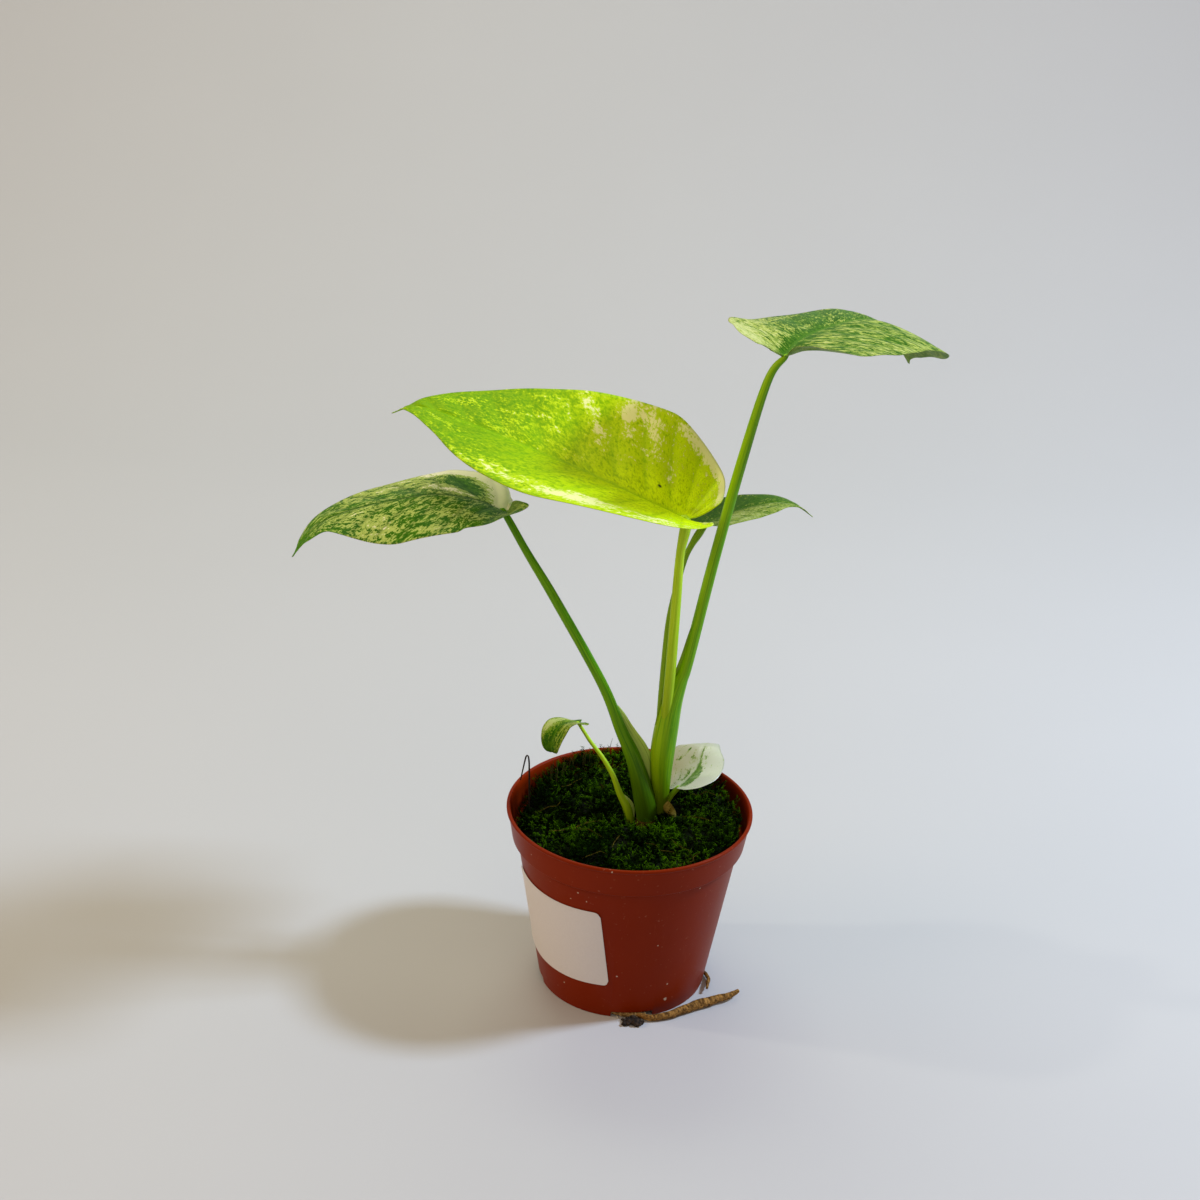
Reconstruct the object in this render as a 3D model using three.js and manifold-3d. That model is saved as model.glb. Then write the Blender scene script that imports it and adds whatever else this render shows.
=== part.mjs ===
// A potted mint monstera: a young aroid with heart-shaped, cream-marbled leaves,
// rooted in a moss-topped, thin-walled nursery pot.
// Millimetres, +Z up. The origin is the centre of the pot's underside, and -Y is the label's side.
import * as THREE from "three";
import Module from "manifold-3d";
import { mergeVertices } from "three/addons/utils/BufferGeometryUtils.js";

const wasm = await Module();
wasm.setup();

// Clearance kept between neighbouring pieces.
const GAP = 0.35;

// The 12 cm nursery pot: tapered body, stepped collar, raised floor on a foot ring and a centre pad.
const POT = {
  height: 95,
  rimRadius: 60,
  collarHeight: 15.6,
  collarFootRadius: 56.9,
  bodyTopRadius: 54.5,
  baseRadius: 41.5,
  wall: 0.9,
  lipWidth: 1.6,
  lipHeight: 1.5,
  footWidth: 1.8,
  padRadius: 11,
  floorLift: 2.4,
  floorThickness: 0.9,
  segments: 48,
};

// Drainage slots through the bottom corner. The first one faces the front, a little to the right.
const SLOT = { count: 4, width: 20.6, height: 3.4, depth: 9, firstAngle: 7.6 };

// The paper label wraps the cone of the pot's body, centred at an angle left of the front.
const LABEL = {
  width: 60,
  height: 46,
  cornerRadius: 3,
  centreAngle: -46.5,
  centreHeight: 42,
  standOff: 0.35,
  thickness: 0.35,
  columns: 16,
  rows: 4,
};

const SOIL = { top: 80, edgeDrop: 2 };

// Moss carpet: a mounded disc, higher at the back, with seeded tufts.
const MOSS = {
  radius: 54.2,
  base: 80.4,
  height: 87.2,
  riseToBack: 0.09,
  riseToRight: 0.025,
  edgeRound: 8,
  edgeDrop: 3,
  leastHeight: 1.5,
  dip: { at: [4, 1], depth: 2.6, radius: 14 },
  tufts: 90,
  tuftHeight: [0.8, 2.4],
  tuftRadius: [3.5, 7],
  rings: 12,
  spokes: 50,
  seed: 11,
};

// A thin wiry fibre arches out of the moss near the left rim.
const FIBRE = {
  path: [
    [-49.5, 9, 82],
    [-49.6, 9.4, 100],
    [-50.2, 9.8, 113],
    [-51.4, 10, 114.6],
    [-52.6, 10, 109],
    [-54, 10, 101],
  ],
  radius: [0.6, 0.55, 0.5, 0.5, 0.45, 0.4],
};

// The short rhizome that carries every petiole, from inside the soil to just above the moss.
const STEM = {
  sections: [
    { at: [5, 3, 58], half: [2.6, 2.6] },
    { at: [5.2, 3.4, 70], half: [3.4, 3.2] },
    { at: [6, 4, 78], half: [4.2, 3.8] },
    { at: [7.2, 4.6, 82.5], half: [4.6, 4.0] },
    { at: [8.2, 5, 84], half: [5.4, 4.4] },
    { at: [9, 5.4, 86.4], half: [5.6, 4.4] },
  ],
};

// A blunt aerial root bud beside the rhizome.
const BUD = {
  path: [[15.6, 6.2, 95.5], [18.2, 5.8, 92.4], [20.6, 5.6, 89.2], [22, 5.6, 86.6]],
  radius: [1.9, 2.5, 2.4, 1.4],
};

// Half the outline of a blade, from the sinus at the petiole round the basal lobe to the tip.
// Each lateral vein leaves the midrib at origin and ends on the margin at reach along the midrib's
// length, at width times the blade's half width; nearTip and nearBase say how far fullness acts there.
const OUTLINE = [
  { reach: -0.01, width: 0.02, origin: 0, nearTip: 0, nearBase: 0 },
  { reach: -0.05, width: 0.13, origin: 0, nearTip: 0, nearBase: 0.6 },
  { reach: -0.105, width: 0.36, origin: 0, nearTip: 0, nearBase: 1 },
  { reach: -0.08, width: 0.66, origin: 0, nearTip: 0, nearBase: 0.7 },
  { reach: 0.05, width: 0.9, origin: 0.015, nearTip: 0, nearBase: 0.25 },
  { reach: 0.24, width: 1, origin: 0.1, nearTip: 0, nearBase: 0 },
  { reach: 0.44, width: 0.94, origin: 0.25, nearTip: 0.1, nearBase: 0 },
  { reach: 0.63, width: 0.75, origin: 0.43, nearTip: 0.45, nearBase: 0 },
  { reach: 0.79, width: 0.47, origin: 0.63, nearTip: 0.8, nearBase: 0 },
  { reach: 0.9, width: 0.19, origin: 0.82, nearTip: 1, nearBase: 0 },
  { reach: 0.955, width: 0.055, origin: 0.925, nearTip: 0.7, nearBase: 0 },
  { reach: 1, width: 0.012, origin: 0.99, nearTip: 0, nearBase: 0 },
];

// One list a blade: its midrib from the base to the drip tip, the upper normal at the base, and
// left and right values for the half width, the fold up from the midrib (degrees, base to tip),
// the curl down of the margin, the basal lobe's reach, and the fullness near the tip and the base.
const BLADES = {
  left: {
    midrib: [
      [-64.5, 12, 242],
      [-78.5, 16, 245.5],
      [-97, 16, 247.5],
      [-114, 19, 243],
      [-132, 20.5, 237.5],
      [-149, 18.5, 231],
      [-157.5, 12, 223.5],
      [-162.5, 4, 217.5],
    ],
    normal: [0.22, -0.03, 1],
    halfWidth: [33.5, 32],
    fold: [[11, -11, 9], [-7, -4, 6]],
    curl: [[0.13, 0.17], [-0.08, 0.02]],
    lobeReach: [0.96, 0.83],
    lobeLift: [40, 33],
    tipFullness: [-0.07, -0.15],
    baseFullness: [0.04, -0.15],
    twist: 2,
    rows: 22,
    columns: 5,
    colour: "blade_green",
  },
  top: {
    midrib: [
      [58, 5, 328],
      [68, 21, 329],
      [79.5, 37, 329],
      [92.5, 51, 329],
      [106, 62.5, 326],
      [116.5, 75, 314.5],
      [125.5, 85.5, 298.5],
    ],
    normal: [-0.04, -0.03, 1],
    halfWidth: [38.5, 46],
    fold: [[11, -5, 17], [11, 5, 0]],
    curl: [[0.05, 0.16], [0.14, 0.13]],
    lobeReach: [0.94, 1.06],
    lobeLift: [15, 23],
    tipFullness: [0.06, 0.43],
    baseFullness: [-0.25, 0],
    twist: -6,
    rows: 24,
    columns: 5,
    colour: "blade_green",
  },
  lime: {
    midrib: [
      [19, 0, 247],
      [-7, 3, 257.5],
      [-38, 13, 267],
      [-64.5, 23.5, 273.5],
      [-90.5, 36.5, 278],
      [-109, 45.5, 279.5],
      [-121.5, 54.5, 272.5],
    ],
    normal: [0.33, -0.21, 1],
    halfWidth: [46.5, 47.5],
    fold: [[22, -1, 9], [14, 11, 4]],
    curl: [[-0.1, 0.08], [-0.25, -0.06]],
    lobeReach: [0.97, 0.89],
    lobeLift: [30, 21],
    tipFullness: [-0.24, 0.01],
    baseFullness: [-0.03, -0.11],
    twist: 1,
    rows: 24,
    columns: 5,
    colour: "blade_lime",
  },
  back: {
    midrib: [
      [28, 22, 235.5],
      [36, 30, 236.5],
      [45, 37.5, 237.5],
      [55.5, 43, 238.5],
      [65, 47.5, 238.5],
      [74, 50, 236],
      [82, 51.5, 230],
    ],
    normal: [-0.18, 0.03, 1],
    halfWidth: [18, 18],
    fold: [[5, 5, 5], [10, 2, 5]],
    curl: [[-0.04, 0.06], [0.06, 0.03]],
    lobeReach: [1.07, 1.01],
    lobeLift: [22, 20],
    tipFullness: [-0.03, -0.22],
    baseFullness: [0, 0],
    twist: -1,
    rows: 17,
    columns: 4,
    colour: "blade_green",
  },
  small_left: {
    midrib: [
      [-26.5, 18, 130],
      [-31.5, 15.5, 131.5],
      [-35.5, 12, 131],
      [-38, 8, 128],
      [-39.5, 5.5, 124],
      [-39, 5.5, 120],
      [-37.5, 9, 118.5],
    ],
    normal: [0.12, 0.17, 1],
    halfWidth: [8.7, 8.8],
    fold: [[7, 18, 1], [-10, 1, 6]],
    curl: [[-0.07, -0.04], [0.05, -0.12]],
    lobeReach: [0.93, 1.01],
    lobeLift: [15, 20],
    tipFullness: [0.24, 0.01],
    baseFullness: [0.05, -0.05],
    twist: 12,
    rows: 16,
    columns: 3,
    colour: "blade_green",
  },
  small_white: {
    midrib: [
      [23, 8, 102],
      [28, 13.5, 104],
      [32.5, 20, 107.5],
      [34.5, 27, 111.5],
      [37, 33, 113.5],
      [38.5, 38.5, 110],
      [39, 42, 104],
    ],
    normal: [-0.2, -0.03, 0.5],
    halfWidth: [15.5, 14.7],
    fold: [[-16, -1, -5], [9, -7, -6]],
    curl: [[0.1, -0.04], [0.04, 0.18]],
    lobeReach: [0.55, 0.94],
    lobeLift: [24, 28],
    tipFullness: [0.08, -0.4],
    baseFullness: [-0.4, -0.09],
    twist: -11,
    rows: 17,
    columns: 4,
    colour: "blade_white",
  },
};
const LEAST_HALF_WIDTH = 0.4;
// The basal lobes rise gradually over this share of the midrib's length.
const LIFT_RAMP = 0.07;
const BLADE_THICKNESS = 0.8;

// Petioles run from the rhizome up to their blade. A wing is one edge of the clasping sheath:
// it stands out of the petiole between two shares of its length, by the reach listed along it.
const PETIOLES = {
  left: {
    path: [
      [6.8, 4.5, 87],
      [6.2, 4.4, 97],
      [0.4, 4.8, 118],
      [-6.5, 5.9, 134],
      [-16.5, 7.2, 158],
      [-40, 9.4, 199.4],
      [-53.4, 10.8, 222],
    ],
    radius: [4.4, 4.2, 3.3, 2.8, 2.5, 2.3, 2.1, 2],
    wings: [{ from: 0.03, to: 0.3, reach: [1.5, 3.2, 4, 4, 3.4, 2.6, 0.4], direction: [1, 0.2, 0.3] }],
  },
  top: {
    path: [
      [13.2, 6.8, 87.4],
      [14, 7, 96],
      [15.4, 7, 110],
      [17.2, 6.8, 122],
      [19.6, 6.6, 145],
      [25.4, 6.3, 180],
      [33.1, 5.9, 224.6],
      [43, 5.5, 276],
      [51.5, 5.2, 313],
    ],
    radius: [4, 4, 4.6, 4.4, 3, 2.7, 2.6, 2.4, 2.2, 2.1],
    wings: [
      { from: 0.16, to: 0.385, reach: [0.4, 1.6, 1.8, 1.4, 0.3], direction: [-1, -0.35, 0.2] },
      { from: 0.03, to: 0.18, reach: [0.4, 2.6, 3.4, 3.2, 0.6], direction: [-1, 0.35, 0.2] },
    ],
  },
  lime: {
    path: [
      [13, 3.6, 110],
      [13.7, 2.6, 127],
      [14.9, 2, 148],
      [15.8, 1.4, 172],
      [16.4, 0.8, 205.8],
      [16.9, 0.2, 229],
    ],
    radius: [2.2, 2.5, 2.6, 2.6, 2.5, 2.2, 2.1],
    wings: [],
  },
  back: {
    path: [
      [12.4, 9, 112],
      [12, 10.7, 140.5],
      [12.8, 14, 168],
      [14, 16.4, 188.2],
      [17, 18.2, 205],
      [21, 20.2, 221],
    ],
    radius: [1.9, 2, 1.9, 1.7, 1.5, 1.4, 1.4],
    wings: [],
  },
  small_left: {
    path: [
      [-0.3, 5, 84.6],
      [-1.2, 5.6, 90],
      [-5, 7.6, 97],
      [-9, 10.3, 106],
      [-14.6, 12.9, 114.4],
      [-20.7, 15.4, 121.4],
    ],
    radius: [2.2, 2.1, 1.9, 1.7, 1.4, 1.2, 1.1],
    wings: [{ from: 0.02, to: 0.2, reach: [0.2, 0.9, 1.1, 0.2], direction: [1, 0.2, 0.5] }],
  },
  small_white: {
    path: [[17.4, 9.2, 88.5], [18.4, 9, 92.8], [20.6, 8.6, 97.4]],
    radius: [1.5, 1.4, 1.2, 1.1],
    wings: [],
  },
};
const WING_THICKNESS = 1;

// A thick root leaves the front slot and lies along the floor, and a thin one pokes out at the right.
const ROOT = {
  path: [
    [3.5, -35.6, 1.7],
    [8.2, -40.6, 1.75],
    [14, -43.2, 1.9],
    [21, -41.6, 2.1],
    [29, -37.6, 2.4],
    [38, -31.6, 2.75],
    [47, -27, 2.7],
    [54, -23.6, 3.2],
    [58.4, -20.4, 3.9],
  ],
  radius: [1.2, 1.3, 1.5, 1.7, 2, 2.35, 2, 1.6, 0.9],
};
const ROOT_STUB = {
  path: [[37.8, -0.8, 1.6], [41.6, -2.6, 1.7], [43.8, -8, 2.1], [43.4, -13.6, 2.8], [42.8, -18.8, 3.4]],
  radius: [0.8, 0.9, 1, 0.9, 0.6],
};

// Crumbs of soil washed out of the front slot, seeded.
const CRUMBS = { centre: [6, -45.4], spread: [5, 1.6], radius: [1.2, 2.1], squash: 0.75, count: 13, seed: 5 };

const COLOURS = {
  pot: [0x8f2f16, 0.38],
  label: [0xe9e2da, 0.7],
  soil: [0x1d140d, 0.95],
  moss: [0x16330a, 0.95],
  stem: [0x6a4a22, 0.8],
  petiole: [0x4f8a1c, 0.42],
  petiole_lime: [0x86b02a, 0.42],
  blade_lime: [0x9cc81c, 0.4],
  blade_green: [0x5c8a3c, 0.42],
  blade_white: [0xdfe6cc, 0.38],
  root: [0x7d5a2c, 0.85],
};

function vector([x, y, z]) {
  return new THREE.Vector3(x, y, z);
}

function curveThrough(points) {
  return new THREE.CatmullRomCurve3(points.map(vector), false, "catmullrom", 0.5);
}

// Mulberry32, a small seeded random number generator.
function seededRandom(seed) {
  let state = seed;
  return () => {
    state = (state + 0x6d2b79f5) | 0;
    let t = Math.imul(state ^ (state >>> 15), 1 | state);
    t = (t + Math.imul(t ^ (t >>> 7), 61 | t)) ^ t;
    return ((t ^ (t >>> 14)) >>> 0) / 4294967296;
  };
}

// Smooth interpolation in a list of values spread evenly over 0 to 1.
function atKnots(values, share) {
  const x = THREE.MathUtils.clamp(share, 0, 1) * (values.length - 1);
  const i = Math.min(Math.floor(x), values.length - 2);
  const t = x - i;
  const [b, c] = [values[i], values[i + 1]];
  const a = i > 0 ? values[i - 1] : 2 * b - c;
  const d = i + 2 < values.length ? values[i + 2] : 2 * c - b;
  return 0.5 * (2 * b + (c - a) * t + (2 * a - 5 * b + 4 * c - d) * t * t + (3 * b - a - 3 * c + d) * t ** 3);
}

// A closed solid from a geometry: seams are merged, slivers dropped, and its faces turned outwards.
function solidOf(geometry) {
  geometry.deleteAttribute("normal");
  geometry.deleteAttribute("uv");
  const merged = mergeVertices(geometry, 1e-4);
  const corners = merged.index.array;
  const kept = [];
  for (let i = 0; i < corners.length; i += 3) {
    const [a, b, c] = corners.slice(i, i + 3);
    if (a !== b && b !== c && c !== a) kept.push(a, b, c);
  }
  const vertProperties = merged.attributes.position.array;
  const build = (faces) => {
    const mesh = new wasm.Mesh({ numProp: 3, vertProperties, triVerts: Uint32Array.from(faces) });
    return new wasm.Manifold(mesh);
  };
  const solid = build(kept);
  return solid.volume() > 0 ? solid : build(kept.reverse());
}

function solidFromFaces(points, faces) {
  const geometry = new THREE.BufferGeometry();
  geometry.setAttribute("position", new THREE.Float32BufferAttribute(points.flatMap((p) => p.toArray()), 3));
  geometry.setIndex(faces.flat());
  return solidOf(geometry);
}

// A boolean can leave loose scraps: only the main body is kept.
function mainBody(solid) {
  return solid.decompose().sort((a, b) => b.volume() - a.volume())[0];
}

function clearOf(solid, spaces) {
  return spaces.reduce((rest, space) => rest.subtract(space), solid);
}

// A closed solid through rings of equal point counts, capped at both ends.
function loft(rings) {
  const count = rings[0].length;
  const points = rings.flat();
  const faces = [];
  for (let i = 0; i + 1 < rings.length; i += 1) {
    for (let k = 0; k < count; k += 1) {
      const next = (k + 1) % count;
      const a = i * count + k;
      const b = i * count + next;
      faces.push([a, b, b + count], [a, b + count, a + count]);
    }
  }
  [0, rings.length - 1].forEach((i) => {
    const centre = points.length;
    points.push(rings[i].reduce((sum, p) => sum.add(p), new THREE.Vector3()).divideScalar(count));
    for (let k = 0; k < count; k += 1) {
      const a = i * count + k;
      const b = i * count + ((k + 1) % count);
      faces.push(i === 0 ? [centre, b, a] : [centre, a, b]);
    }
  });
  return solidFromFaces(points, faces);
}

// A tube along a curve whose radius changes from point to point. grow widens and lengthens it.
function taperedTube({ path, radius }, { sides = 10, steps = 2 * path.length, grow = 0 } = {}) {
  const curve = curveThrough(path);
  const frames = curve.computeFrenetFrames(steps, false);
  const rings = [];
  for (let i = 0; i <= steps; i += 1) {
    const share = i / steps;
    const centre = curve.getPointAt(share);
    if (i === 0) centre.addScaledVector(frames.tangents[i], -grow);
    if (i === steps) centre.addScaledVector(frames.tangents[i], grow);
    const knot = curve.getUtoTmapping(share);
    const size = atKnots(radius, knot) + grow;
    rings.push(
      Array.from({ length: sides }, (_, k) => {
        const angle = (2 * Math.PI * k) / sides;
        return centre
          .clone()
          .addScaledVector(frames.normals[i], size * Math.cos(angle))
          .addScaledVector(frames.binormals[i], size * Math.sin(angle));
      }),
    );
  }
  return loft(rings);
}

// One edge of a petiole's sheath: a thin wing that stands out of it on one side.
function sheathWing({ path, radius }, { from, to, reach, direction }, grow) {
  const curve = curveThrough(path);
  const steps = 8;
  const longer = grow / curve.getLength();
  const rings = [];
  for (let i = 0; i <= steps; i += 1) {
    const share = THREE.MathUtils.lerp(from - longer, to + longer, i / steps);
    const centre = curve.getPointAt(share);
    const tangent = curve.getTangentAt(share);
    const out = vector(direction).addScaledVector(tangent, -vector(direction).dot(tangent)).normalize();
    const side = new THREE.Vector3().crossVectors(tangent, out).multiplyScalar(WING_THICKNESS / 2 + grow);
    const size = atKnots(radius, curve.getUtoTmapping(share));
    const tip = centre.clone().addScaledVector(out, size + atKnots(reach, i / steps) + grow);
    const face = (shift) => [centre.clone().add(shift), tip.clone().add(shift)];
    const [low, high] = [face(side.clone().negate()), face(side)];
    rings.push([...low, ...high.reverse()]);
  }
  return loft(rings);
}

// The midrib's frames: a point, a tangent and an upper normal carried along without twist.
function midribFrames({ midrib, normal }) {
  const steps = 160;
  const curve = curveThrough(midrib);
  const carried = vector(normal);
  const frames = [];
  for (let i = 0; i <= steps; i += 1) {
    const tangent = curve.getTangentAt(i / steps);
    carried.addScaledVector(tangent, -carried.dot(tangent)).normalize();
    frames.push({ point: curve.getPointAt(i / steps), tangent, normal: carried.clone() });
  }
  return { frames, length: curve.getLength() };
}

function frameAt(frames, share) {
  const x = THREE.MathUtils.clamp(share, 0, 1) * (frames.length - 1);
  const i = Math.min(Math.floor(x), frames.length - 2);
  const mix = (key) => frames[i][key].clone().lerp(frames[i + 1][key], x - i);
  return { point: mix("point"), tangent: mix("tangent"), normal: mix("normal") };
}

// The blade's left (0) or right (1) margin at a share of the way round it from the sinus to the tip.
function marginAt(leaf, side, share) {
  const column = (value) => atKnots(OUTLINE.map(value), share);
  return {
    origin: Math.max(column(({ origin }) => origin), 0),
    reach: column(({ reach }) => (reach < 0 ? reach * leaf.lobeReach[side] : reach)),
    width: column(({ width, nearTip, nearBase }) => {
      return width * (1 + leaf.tipFullness[side] * nearTip + leaf.baseFullness[side] * nearBase);
    }),
  };
}

// A point of the blade at a share along the midrib (below 0 in the basal lobes) and a distance out from it.
function bladePoint(leaf, rib, side, along, out) {
  const { point, tangent, normal } = frameAt(rib.frames, along);
  const twist = THREE.MathUtils.degToRad(leaf.twist) * THREE.MathUtils.clamp(along, 0, 1);
  const flat = new THREE.Vector3().crossVectors(tangent, normal);
  const across = flat.clone().multiplyScalar(Math.cos(twist)).addScaledVector(normal, Math.sin(twist));
  const up = normal.clone().multiplyScalar(Math.cos(twist)).addScaledVector(flat, -Math.sin(twist));
  const fold = THREE.MathUtils.degToRad(atKnots(leaf.fold[side], along));
  const curl = atKnots(leaf.curl[side], along);
  const behind = Math.max(-along, 0);
  const lift = THREE.MathUtils.degToRad(leaf.lobeLift[side]) * Math.min(behind / LIFT_RAMP, 1);
  const rise = out * Math.sin(fold) - (curl * out * out) / leaf.halfWidth[side];
  return point
    .addScaledVector(tangent, -behind * rib.length * Math.cos(lift))
    .addScaledVector(up, behind * rib.length * Math.sin(lift) + rise)
    .addScaledVector(across, (side === 0 ? -1 : 1) * out * Math.cos(fold));
}

function bladeNormal(leaf, rib, side, along, out) {
  const stepAlong = 0.004;
  const stepOut = 0.4;
  const ahead = bladePoint(leaf, rib, side, along + stepAlong, out);
  const runAlong = ahead.sub(bladePoint(leaf, rib, side, along - stepAlong, out));
  const nearer = bladePoint(leaf, rib, side, along, Math.max(out - stepOut, 0));
  const runOut = bladePoint(leaf, rib, side, along, out + stepOut).sub(nearer);
  return runOut.cross(runAlong).multiplyScalar(side === 0 ? -1 : 1).normalize();
}

// Rows of the blade's grid follow its lateral veins, from the left margin over the midrib to the right one.
function bladeSolid(leaf, thickness) {
  const rib = midribFrames(leaf);
  const { rows, columns } = leaf;
  const upper = [];
  const lower = [];
  for (let i = 0; i <= rows; i += 1) {
    for (let k = -columns; k <= columns; k += 1) {
      const side = k < 0 ? 0 : 1;
      const share = Math.abs(k) / columns;
      const { origin, reach, width } = marginAt(leaf, side, i / rows);
      const along = origin + (reach - origin) * share;
      const out = Math.max(width * leaf.halfWidth[side], LEAST_HALF_WIDTH) * share;
      const point = bladePoint(leaf, rib, side, along, out);
      const normal = bladeNormal(leaf, rib, side, along, out);
      if (k === 0) normal.add(bladeNormal(leaf, rib, 0, along, out)).normalize();
      upper.push(point.clone().addScaledVector(normal, thickness / 2));
      lower.push(point.clone().addScaledVector(normal, -thickness / 2));
    }
  }
  return plateSolid(upper, lower, rows, 2 * columns + 1);
}

// A thin closed plate between two grids that are split into triangles alike.
function plateSolid(upper, lower, rows, wide) {
  const faces = [];
  const total = upper.length;
  for (let i = 0; i < rows; i += 1) {
    for (let k = 0; k + 1 < wide; k += 1) {
      const a = i * wide + k;
      const [b, c, d] = [a + 1, a + wide + 1, a + wide];
      faces.push([a, b, c], [a, c, d]);
      faces.push([total + a, total + c, total + b], [total + a, total + d, total + c]);
    }
  }
  const edge = [];
  for (let k = 0; k < wide; k += 1) edge.push(k);
  for (let i = 1; i <= rows; i += 1) edge.push(i * wide + wide - 1);
  for (let k = wide - 2; k >= 0; k -= 1) edge.push(rows * wide + k);
  for (let i = rows - 1; i > 0; i -= 1) edge.push(i * wide);
  edge.forEach((a, n) => {
    const b = edge[(n + 1) % edge.length];
    faces.push([a, total + a, total + b], [a, total + b, b]);
  });
  return solidFromFaces([...upper, ...lower], faces);
}

function latheSolid(profile, segments) {
  const points = profile.map(([r, z]) => new THREE.Vector2(r, z));
  return solidOf(new THREE.LatheGeometry(points, segments).rotateX(Math.PI / 2));
}

const COLLAR_FOOT = POT.height - POT.collarHeight;
const FLOOR_TOP = POT.floorLift + POT.floorThickness;
const BODY_SLOPE = (POT.bodyTopRadius - POT.baseRadius) / COLLAR_FOOT;

// The outer radius of the pot's tapered body at a height.
function bodyRadius(z) {
  return POT.baseRadius + BODY_SLOPE * z;
}

function potSolid() {
  const { height, rimRadius, wall, lipWidth, lipHeight, footWidth, padRadius, floorLift } = POT;
  const bevel = 0.5;
  const underCollar = 1;
  const padSlope = 1.5;
  const shell = latheSolid(
    [
      [0, 0],
      [padRadius, 0],
      [padRadius + padSlope, floorLift],
      [POT.baseRadius - footWidth - bevel, floorLift],
      [POT.baseRadius - footWidth, 0],
      [POT.baseRadius - bevel, 0],
      [bodyRadius(bevel), bevel],
      [bodyRadius(COLLAR_FOOT - underCollar), COLLAR_FOOT - underCollar],
      [POT.collarFootRadius, COLLAR_FOOT],
      [rimRadius - wall, height - lipHeight - bevel],
      [rimRadius, height - lipHeight],
      [rimRadius, height - bevel],
      [rimRadius - bevel, height],
      [rimRadius - lipWidth, height],
      [rimRadius - lipWidth - bevel, height - lipHeight],
      [POT.collarFootRadius - wall, COLLAR_FOOT + underCollar],
      [bodyRadius(COLLAR_FOOT) - wall, COLLAR_FOOT],
      [bodyRadius(FLOOR_TOP) - wall, FLOOR_TOP],
      [padRadius + padSlope - bevel, FLOOR_TOP],
      [padRadius - bevel, wall],
      [0, wall],
    ],
    POT.segments,
  );
  const past = 2;
  const slots = Array.from({ length: SLOT.count }, (_, i) => {
    const turn = THREE.MathUtils.degToRad(SLOT.firstAngle + (360 * i) / SLOT.count);
    const cutter = new THREE.BoxGeometry(SLOT.width, SLOT.depth + past, 2 * SLOT.height);
    return solidOf(cutter.translate(0, SLOT.depth / 2 - past / 2 - POT.baseRadius, 0).rotateZ(turn));
  });
  return clearOf(shell, slots);
}

function soilSolid() {
  const inside = (z) => bodyRadius(z) - POT.wall - GAP;
  const low = FLOOR_TOP + GAP;
  const shoulder = SOIL.top - SOIL.edgeDrop;
  const profile = [
    [0, low],
    [inside(low), low],
    [inside(shoulder), shoulder],
    [inside(shoulder) - SOIL.edgeDrop, SOIL.top],
    [0, SOIL.top],
  ];
  return latheSolid(profile, POT.segments);
}

function mossTufts(random) {
  return Array.from({ length: MOSS.tufts }, () => {
    const angle = 2 * Math.PI * random();
    const distance = MOSS.radius * Math.sqrt(random());
    return {
      x: distance * Math.cos(angle),
      y: distance * Math.sin(angle),
      radius: THREE.MathUtils.lerp(...MOSS.tuftRadius, random()),
      height: THREE.MathUtils.lerp(...MOSS.tuftHeight, random()),
    };
  });
}

function mossHeight(tufts, x, y) {
  const bump = tufts.reduce((best, tuft) => {
    const near = 1 - ((x - tuft.x) ** 2 + (y - tuft.y) ** 2) / tuft.radius ** 2;
    return near > 0 ? Math.max(best, tuft.height * near * near) : best;
  }, 0);
  const fromEdge = (MOSS.radius - Math.hypot(x, y)) / MOSS.edgeRound;
  const drop = fromEdge < 1 ? MOSS.edgeDrop * (1 - fromEdge) ** 2 : 0;
  const { at, depth, radius } = MOSS.dip;
  const inDip = Math.max(1 - ((x - at[0]) ** 2 + (y - at[1]) ** 2) / radius ** 2, 0);
  const surface = MOSS.height + MOSS.riseToBack * y + MOSS.riseToRight * x + bump - drop - depth * inDip ** 2;
  return Math.max(surface, MOSS.base + MOSS.leastHeight);
}

// The moss is a flat-bottomed disc whose top is a polar grid of tufts.
function mossSolid() {
  const tufts = mossTufts(seededRandom(MOSS.seed));
  const points = [new THREE.Vector3(0, 0, mossHeight(tufts, 0, 0)), new THREE.Vector3(0, 0, MOSS.base)];
  const faces = [];
  const { rings, spokes } = MOSS;
  for (let i = 1; i <= rings + 1; i += 1) {
    for (let k = 0; k < spokes; k += 1) {
      const angle = (2 * Math.PI * k) / spokes;
      const distance = (MOSS.radius * Math.min(i, rings)) / rings;
      const x = distance * Math.cos(angle);
      const y = distance * Math.sin(angle);
      points.push(new THREE.Vector3(x, y, i > rings ? MOSS.base : mossHeight(tufts, x, y)));
    }
  }
  const at = (i, k) => 2 + (i - 1) * spokes + (k % spokes);
  for (let k = 0; k < spokes; k += 1) {
    faces.push([0, at(1, k), at(1, k + 1)], [1, at(rings + 1, k + 1), at(rings + 1, k)]);
    for (let i = 1; i <= rings; i += 1) {
      faces.push([at(i, k), at(i + 1, k), at(i + 1, k + 1)], [at(i, k), at(i + 1, k + 1), at(i, k + 1)]);
    }
  }
  return solidFromFaces(points, faces);
}

// The rhizome's sections are level ellipses.
function stemSolid(grow = 0) {
  const sides = 16;
  const rings = STEM.sections.map(({ at, half }, i) =>
    Array.from({ length: sides }, (_, k) => {
      const angle = (2 * Math.PI * k) / sides;
      const end = i === 0 ? -grow : i === STEM.sections.length - 1 ? grow : 0;
      const offset = [(half[0] + grow) * Math.cos(angle), (half[1] + grow) * Math.sin(angle), end];
      return vector(at).add(vector(offset));
    }),
  );
  return loft(rings);
}

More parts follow.
